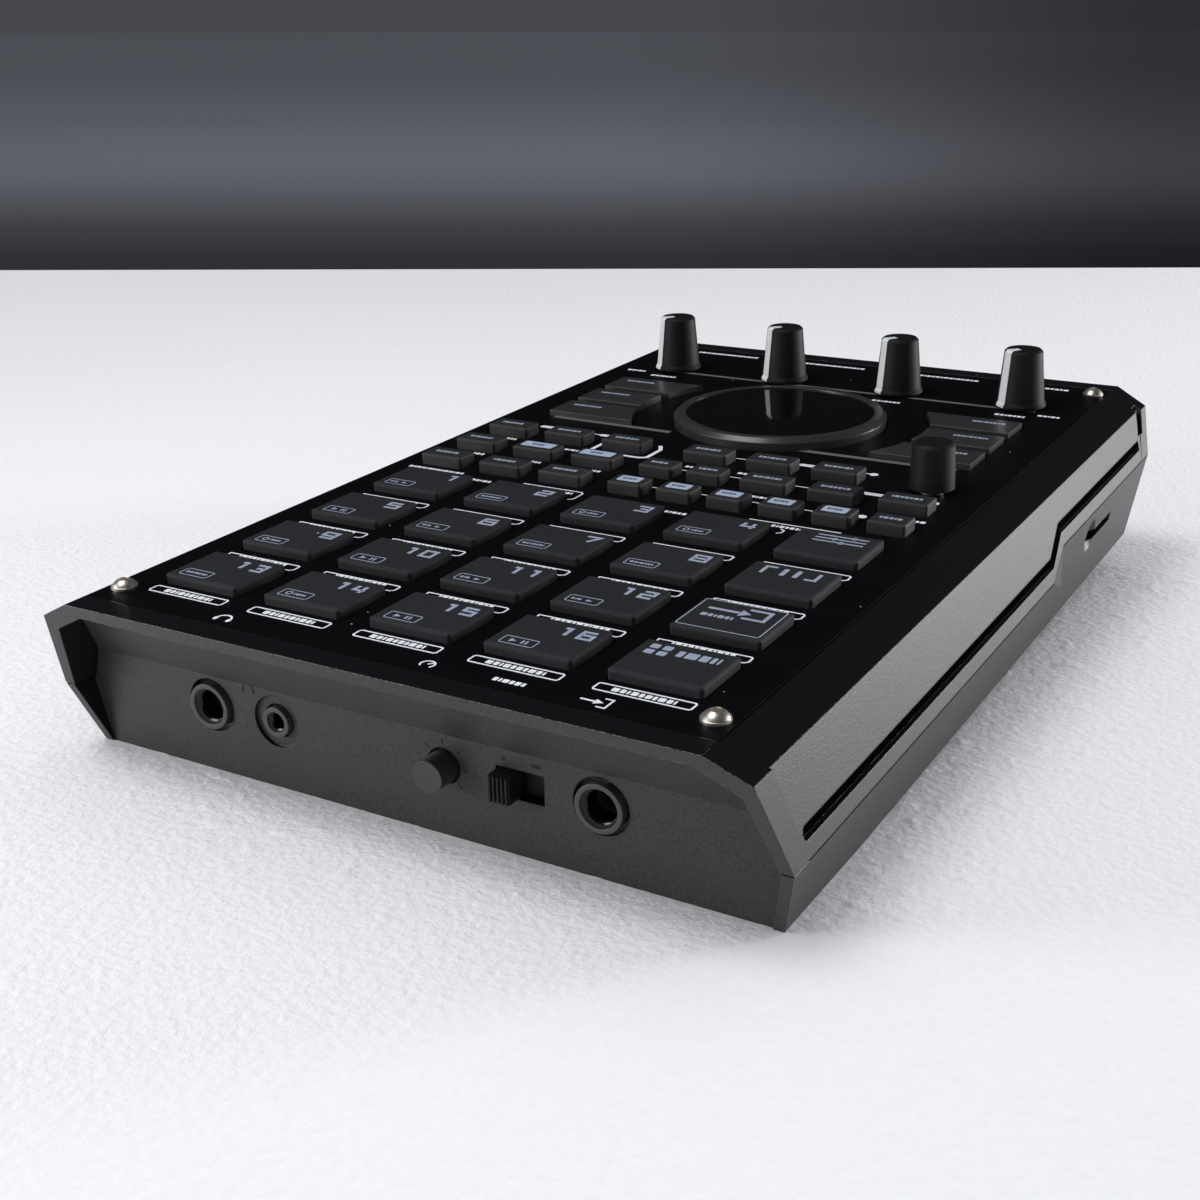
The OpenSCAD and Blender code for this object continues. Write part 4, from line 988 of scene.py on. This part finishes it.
class SAMPLER_OT_display(bpy.types.Operator):
    """Set the black mask and the screen's frame under the display's lens"""

    bl_idname = "sampler.display"
    bl_label = "Display mask"

    def execute(self, context):
        sheet = Sheet(DECK, 1.12, 1.3)
        outer = disc(0, DISPLAY_V, 25.1, 72)
        inner = []
        for a, b in outer:
            reach = min(15.5 / max(abs(a), 1e-6), 10.5 / max(abs(b - DISPLAY_V), 1e-6))
            inner.append((a * reach, DISPLAY_V + (b - DISPLAY_V) * reach))
        sheet.band(outer, inner)
        sheet.finished("display_mask", finish("mask_black"), "case", "module_plastic")
        glass = Sheet(DECK, 0.88, 0.98)
        glass.shape(rounded(0, DISPLAY_V, 32.0, 22.0, 0.8))
        glass.finished("screen_glass", finish("screen"), "case", "module_plastic")
        return {"FINISHED"}


class SAMPLER_OT_jack_fittings(bpy.types.Operator):
    """Line the jacks with black funnels and metal sleeves"""

    bl_idname = "sampler.jack_fittings"
    bl_label = "Jack sleeves"

    def lined(self, name, places, radii, back=False):
        """A black funnel in each jack's mouth and a metal sleeve behind it."""
        mouth, bore = radii
        turn = TURN @ Matrix.Rotation(math.radians(90 if back else -90), 4, "X") @ Matrix.Scale(MM, 4)
        points = [DECK @ Vector(p) for p in places]
        funnel = lathe(name, [
            (mouth + 0.02, 0.05), (bore + 0.02, 1.85), (bore + 0.02, 5.0), (bore - 0.1, 5.0),
            (bore - 0.1, 1.8), (mouth - 0.1, 0.05)], turn)
        repeated(name + "_funnels", funnel, points, finish("mouth_black"), "case")
        start = 1.4 + 2.4 * bore
        sleeve = lathe(name, [
            (bore + 0.02, start), (bore + 0.02, start + 3), (bore - 0.3, start + 3),
            (bore - 0.3, start + 0.2), (bore - 0.15, start)], turn)
        repeated(name + "_sleeves", sleeve, points, finish("nickel"), "case")

    def execute(self, context):
        front = FRONT_FACE_V - JACK_OUT
        rear = REAR_FACE_V + JACK_OUT
        rear_port = REAR_FACE_V + PORT_OUT
        self.lined("front_jack", [(x, front, FRONT_AXIS_W) for x in FRONT_JACKS_X], JACK_RADII)
        self.lined("mini_jack", [(MINI_JACK_X, FRONT_FACE_V - PORT_OUT, FRONT_AXIS_W)], PORT_RADII)
        self.lined("line_jack", [(x, rear, REAR_AXIS_W) for x in LINE_JACKS_X], JACK_RADII, True)
        self.lined("data_jack", [(x, rear_port, DATA_AXIS_W) for x in DATA_JACKS_X], PORT_RADII, True)
        return {"FINISHED"}


class SAMPLER_OT_case_trim(bpy.types.Operator):
    """Lay black strips as painted shade in the side grooves and the parting line, and dark marks on the front wall
    """

    bl_idname = "sampler.case_trim"
    bl_label = "Groove strips and wall marks"

    def side_strips(self, side):
        """Black strips that fill the groove and the parting line as painted shade, and follow their step."""
        slope = SIDE_RUN / SIDE_FALL
        lean = Matrix(((0, -side * slope, side, side * (SHOULDER_X - slope * SHOULDER_DROP)),
                       (1, 0, 0, 0), (0, 1, 0, 0), (0, 0, 0, 1)))
        name = "right" if side > 0 else "left"
        groove = Sheet(DECK @ lean, -1.25, -0.35)
        groove.line([(15.4, -18.85), (167.1, -18.85), (178.6, -12.85), (261.4, -12.85)], 1.94)
        groove.line([(264.85, -10.7), (266.8, -5.3)], 4.44)
        groove.finished("groove_strip_" + name, finish("groove_black"), "case", "case_plastic")
        part = Sheet(DECK @ lean, -1.5, -0.12)
        part.line([(15.4, -24.15), (166.9, -24.15), (178.9, -18.15), (261.0, -18.15)], 0.4)
        part.finished("parting_strip_" + name, finish("groove_black"), "case", "case_plastic")

    def execute(self, context):
        for side in (-1, 1):
            self.side_strips(side)
        wall = Matrix(((1, 0, 0, 0), (0, 0, -1, FRONT_FACE_V), (0, 1, 0, 0), (0, 0, 0, 1)))
        sheet = Sheet(DECK @ wall, -0.03, 0.03)
        sheet.line(arc(-39.6, -18.0, 1.4, 180, 0, 8), 0.4)
        for x in (-41.0, -38.2):
            sheet.bar(x, -18.3, 0.8, 1.2, 0.2)
        for angle in range(225, -46, -45):
            turn = math.radians(angle)
            tick = [(GAIN_X + reach * math.cos(turn), FRONT_AXIS_W + reach * math.sin(turn))
                    for reach in (4.9, 5.9)]
            sheet.line(tick, 0.4)
        sheet.bar(24.8, -19.0, 0.9, 0.9, 0.4)
        sheet.bar(32.2, -19.0, 2.2, 0.9, 0.3)
        sheet.line([(44.4, -18.3), (47.2, -18.3)], 0.5)
        sheet.shape([(47.0, -19.2), (48.8, -18.3), (47.0, -17.4)])
        sheet.finished("front_wall_marks", finish("dark_ink"), "case", "case_plastic")
        return {"FINISHED"}


class SAMPLER_OT_underside(bpy.types.Operator):
    """Set grip ridges on the battery cover"""

    bl_idname = "sampler.underside"
    bl_label = "Underside details"

    def execute(self, context):
        low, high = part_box("battery_cover")
        front_inset = 0.006
        ridges = grown("battery_cover_ridges", ridge_row_tree, [(0, 0, 0)], Count=sizes().cover_ridges,
                       Pitch=0.0024, Ridge=(0.022, 0.0011, 0.0008), Finish=finish("case_plastic"))
        ridges.transform(Matrix.Translation(((low.x + high.x) / 2, low.y + front_inset, low.z)))
        placed("battery_cover_ridges", ridges, None, "battery_cover")
        return {"FINISHED"}


class SAMPLER_OT_stage(bpy.types.Operator):
    """Lay the floor, set the lights and the camera"""

    bl_idname = "sampler.stage"
    bl_label = "Stage, lights and camera"

    def camera(self, scene):
        forward = Vector((-0.4767, 0.8138, -0.3324)).normalized()
        right = Vector((0.8632, 0.5047, -0.0021))
        right = (right - forward * right.dot(forward)).normalized()
        up = right.cross(forward)
        data = bpy.data.cameras.new("photo_camera")
        data.lens = 49.0
        data.sensor_width = 36.0
        eye = linked("photo_camera", data)
        turn = Matrix((right, up, -forward)).transposed().to_4x4()
        eye.matrix_world = Matrix.Translation((0.1856, -0.3600, 0.1581)) @ turn
        scene.camera = eye
        return eye.matrix_world.translation, Vector((forward.x, forward.y, 0)).normalized()

    def ground(self, name, centre, along, reach, level, material):
        """A flat rectangle whose far edge lies square to the view."""
        across = Vector((along.y, -along.x, 0))
        near, far, half = reach
        corners = [centre + along * a + across * b + Vector((0, 0, level))
                   for a, b in ((-near, -half), (-near, half), (far, half), (far, -half))]
        data = bpy.data.meshes.new(name)
        data.from_pydata([tuple(c) for c in corners], [], [(0, 1, 2, 3)])
        data.materials.append(material)
        linked(name, data)

    def cloth(self):
        material, tree, shader = new_finish("floor_cloth", Roughness=0.95, Specular_IOR_Level=0.1)
        place = object_place(tree)
        # The slow patches paint the shade of folds in the cloth; the pile darkens the cloth where its noise is
        # high.
        fold_shade = noise_node(tree, place, 3.0, 2.0)
        pile = noise_node(tree, place, 520.0, 5.0)
        tint = colours().floor
        tone = blend(tree, fold_shade, scaled(tint, 0.95), scaled(tint, 1.03))
        tone = blend(tree, math_node(tree, "MULTIPLY", pile, 0.22), tone, scaled(tint, 0.7))
        tree.links.new(tone, shader.inputs["Base Color"])
        relief = add(tree, "ShaderNodeBump", None, Strength=0.35, Distance=0.0012, Height=pile)
        tree.links.new(relief.outputs[0], shader.inputs["Normal"])
        return material

    def pile(self):
        """Small tufts of the cloth round the foot of the case."""
        shell = bmesh.new()
        bmesh.ops.create_grid(shell, x_segments=170, y_segments=220, size=1.0)
        for vert in shell.verts:
            inside = min(1.0, 6.0 * (1.0 - max(abs(vert.co.x), abs(vert.co.y))))
            vert.co = Vector((vert.co.x * 0.125, vert.co.y * 0.175, 0))
            tuft = noise.noise(vert.co * 230.0) + 0.6 * noise.noise(vert.co * 520.0)
            vert.co.z = CLOTH_RISE - 0.0001 + 0.0005 * tuft * inside
        smooth(shell)
        data = as_data(shell, "cloth_pile")
        data.materials.append(bpy.data.materials["floor_cloth"])
        linked("cloth_pile", data)

    def dimmed(self, tree, sideways):
        """A light share that falls off towards the right."""
        fall = add(tree, "ShaderNodeMapRange", {"interpolation_type": "SMOOTHSTEP"}, Value=sideways,
                   From_Max=0.36, To_Min=1.0, To_Max=0.4)
        return fall.outputs[0]

    def dark_ground(self, foot, edge, along):
        material, tree, shader = new_finish("dark_ground", Roughness=1.0, Specular_IOR_Level=0.0)
        place = add(tree, "ShaderNodeVectorMath", {"operation": "SUBTRACT"}, _0=object_place(tree),
                    _1=tuple(foot)).outputs[0]
        away = dot_node(tree, place, tuple(along))
        side = dot_node(tree, place, (along.y, -along.x, 0))
        sideways = math_node(tree, "DIVIDE", side, math_node(tree, "MAXIMUM", away, 0.1))
        # Painted light: the ground is darkest at the cloth's edge, brightest about a metre beyond it, a little
        # darker further off, and dimmer to the right.
        far = ranged(tree, away, From_Min=edge, From_Max=edge + 6.0)
        ramp = add(tree, "ShaderNodeValToRGB", None, Fac=far)
        ramp.color_ramp.interpolation = "CARDINAL"
        elements = ramp.color_ramp.elements
        elements[0].color = scaled(colours().backdrop, 0.8)
        elements[1].color = scaled(colours().backdrop, 3.4)
        for stop, share in ((0.033, 1.25), (0.069, 2.3), (0.12, 4.1), (0.19, 4.9), (0.32, 4.4), (0.56, 3.8)):
            elements.new(stop).color = scaled(colours().backdrop, share)
        tone = blend(tree, self.dimmed(tree, sideways), BLACK, ramp.outputs[0])
        tree.links.new(tone, shader.inputs["Base Color"])
        return material

    def lamp(self, name, place, target, size, power, spread=180):
        data = bpy.data.lights.new(name, "AREA")
        data.size = size
        data.energy = power
        data.spread = math.radians(spread)
        lamp = linked(name, data)
        lamp.visible_camera = False
        way = Vector(target) - Vector(place)
        lamp.matrix_world = Matrix.Translation(place) @ way.to_track_quat("-Z", "Y").to_matrix().to_4x4()

    def world(self, scene, along):
        """Soft light that falls off towards the horizon, in a room that looks dark."""
        scene.world = bpy.data.worlds.new("studio")
        scene.world.use_nodes = True
        tree = scene.world.node_tree
        tree.nodes.clear()
        path = tree.nodes.new("ShaderNodeLightPath")
        seen_by = path.outputs
        mirrored = math_node(tree, "MAXIMUM", seen_by["Is Glossy Ray"], seen_by["Is Transmission Ray"])
        way = add(tree, "ShaderNodeTexCoord").outputs["Generated"]
        side = dot_node(tree, way, (along.y, -along.x, 0))
        # The room seen straight on is painted dimmer to the right.
        far_tone = blend(tree, self.dimmed(tree, side), BLACK, scaled(colours().backdrop, 3.1))
        level = ranged(tree, split(tree, way)["Z"], 0.25 * LIGHT, 1.3 * LIGHT, From_Max=0.8)
        light = add(tree, "ShaderNodeBackground", None, Color=(0.95, 0.97, 1.0, 1), Strength=level)
        dark = add(tree, "ShaderNodeBackground", None, Color=scaled(colours().backdrop, 0.3), Strength=1.0)
        wall = add(tree, "ShaderNodeBackground", None, Color=far_tone, Strength=LIGHT)
        either = add(tree, "ShaderNodeMixShader", None, _0=mirrored, _1=light.outputs[0], _2=dark.outputs[0])
        either = add(tree, "ShaderNodeMixShader", None, _0=seen_by["Is Camera Ray"], _1=either.outputs[0],
                     _2=wall.outputs[0])
        output = tree.nodes.new("ShaderNodeOutputWorld")
        tree.links.new(either.outputs[0], output.inputs["Surface"])

    def execute(self, context):
        scene = context.scene
        eye, along = self.camera(scene)
        foot = Vector((eye.x, eye.y, 0))
        edge = 1.10
        self.ground("floor", foot, along, (4.0, edge, 5.0), CLOTH_RISE, self.cloth())
        self.ground("backdrop", foot, along, (6.0, 40.0, 30.0), -0.004, self.dark_ground(foot, edge, along))
        self.pile()
        self.lamp("key_lamp", (-0.45, -0.4, 1.35), (0, 0, 0.03), 0.6, 8.0)
        self.lamp("side_lamp", (1.05, 1.1, 0.2), (0.08, 0, 0.03), 0.4, 18.0)
        self.lamp("fill_lamp", (-0.6, -0.6, 0.18), (-0.02, -0.13, 0.03), 0.35, 0.85, 80)
        self.world(scene, along)
        scene.view_settings.view_transform = "Standard"
        return {"FINISHED"}


class SAMPLER_PT_panel(bpy.types.Panel):
    """Sizes, colours and steps of the sampler's looks"""

    bl_idname = "SAMPLER_PT_panel"
    bl_label = "Audio sampler"
    bl_space_type = "VIEW_3D"
    bl_region_type = "UI"
    bl_category = "Sampler"

    def draw(self, context):
        layout = self.layout
        for group in (context.scene.sampler_sizes, context.scene.sampler_colours):
            box = layout.box()
            for name in group.__annotations__:
                box.prop(group, name)
        for step in STEPS:
            layout.operator(step.bl_idname)


STEPS = (
    SAMPLER_OT_stage,
    SAMPLER_OT_finishes,
    SAMPLER_OT_pad_prints,
    SAMPLER_OT_plate_prints,
    SAMPLER_OT_key_tops,
    SAMPLER_OT_knob_details,
    SAMPLER_OT_display,
    SAMPLER_OT_jack_fittings,
    SAMPLER_OT_case_trim,
    SAMPLER_OT_underside,
)
CLASSES = (SamplerColours, SamplerSizes) + STEPS + (SAMPLER_PT_panel,)


def register():
    for item in CLASSES:
        bpy.utils.register_class(item)
    bpy.types.Scene.sampler_colours = PointerProperty(type=SamplerColours)
    bpy.types.Scene.sampler_sizes = PointerProperty(type=SamplerSizes)


def unregister():
    del bpy.types.Scene.sampler_sizes
    del bpy.types.Scene.sampler_colours
    for item in reversed(CLASSES):
        bpy.utils.unregister_class(item)


def main():
    register()
    for step in STEPS:
        group, name = step.bl_idname.split(".")
        getattr(getattr(bpy.ops, group), name)()


if __name__ == "__main__":
    main()
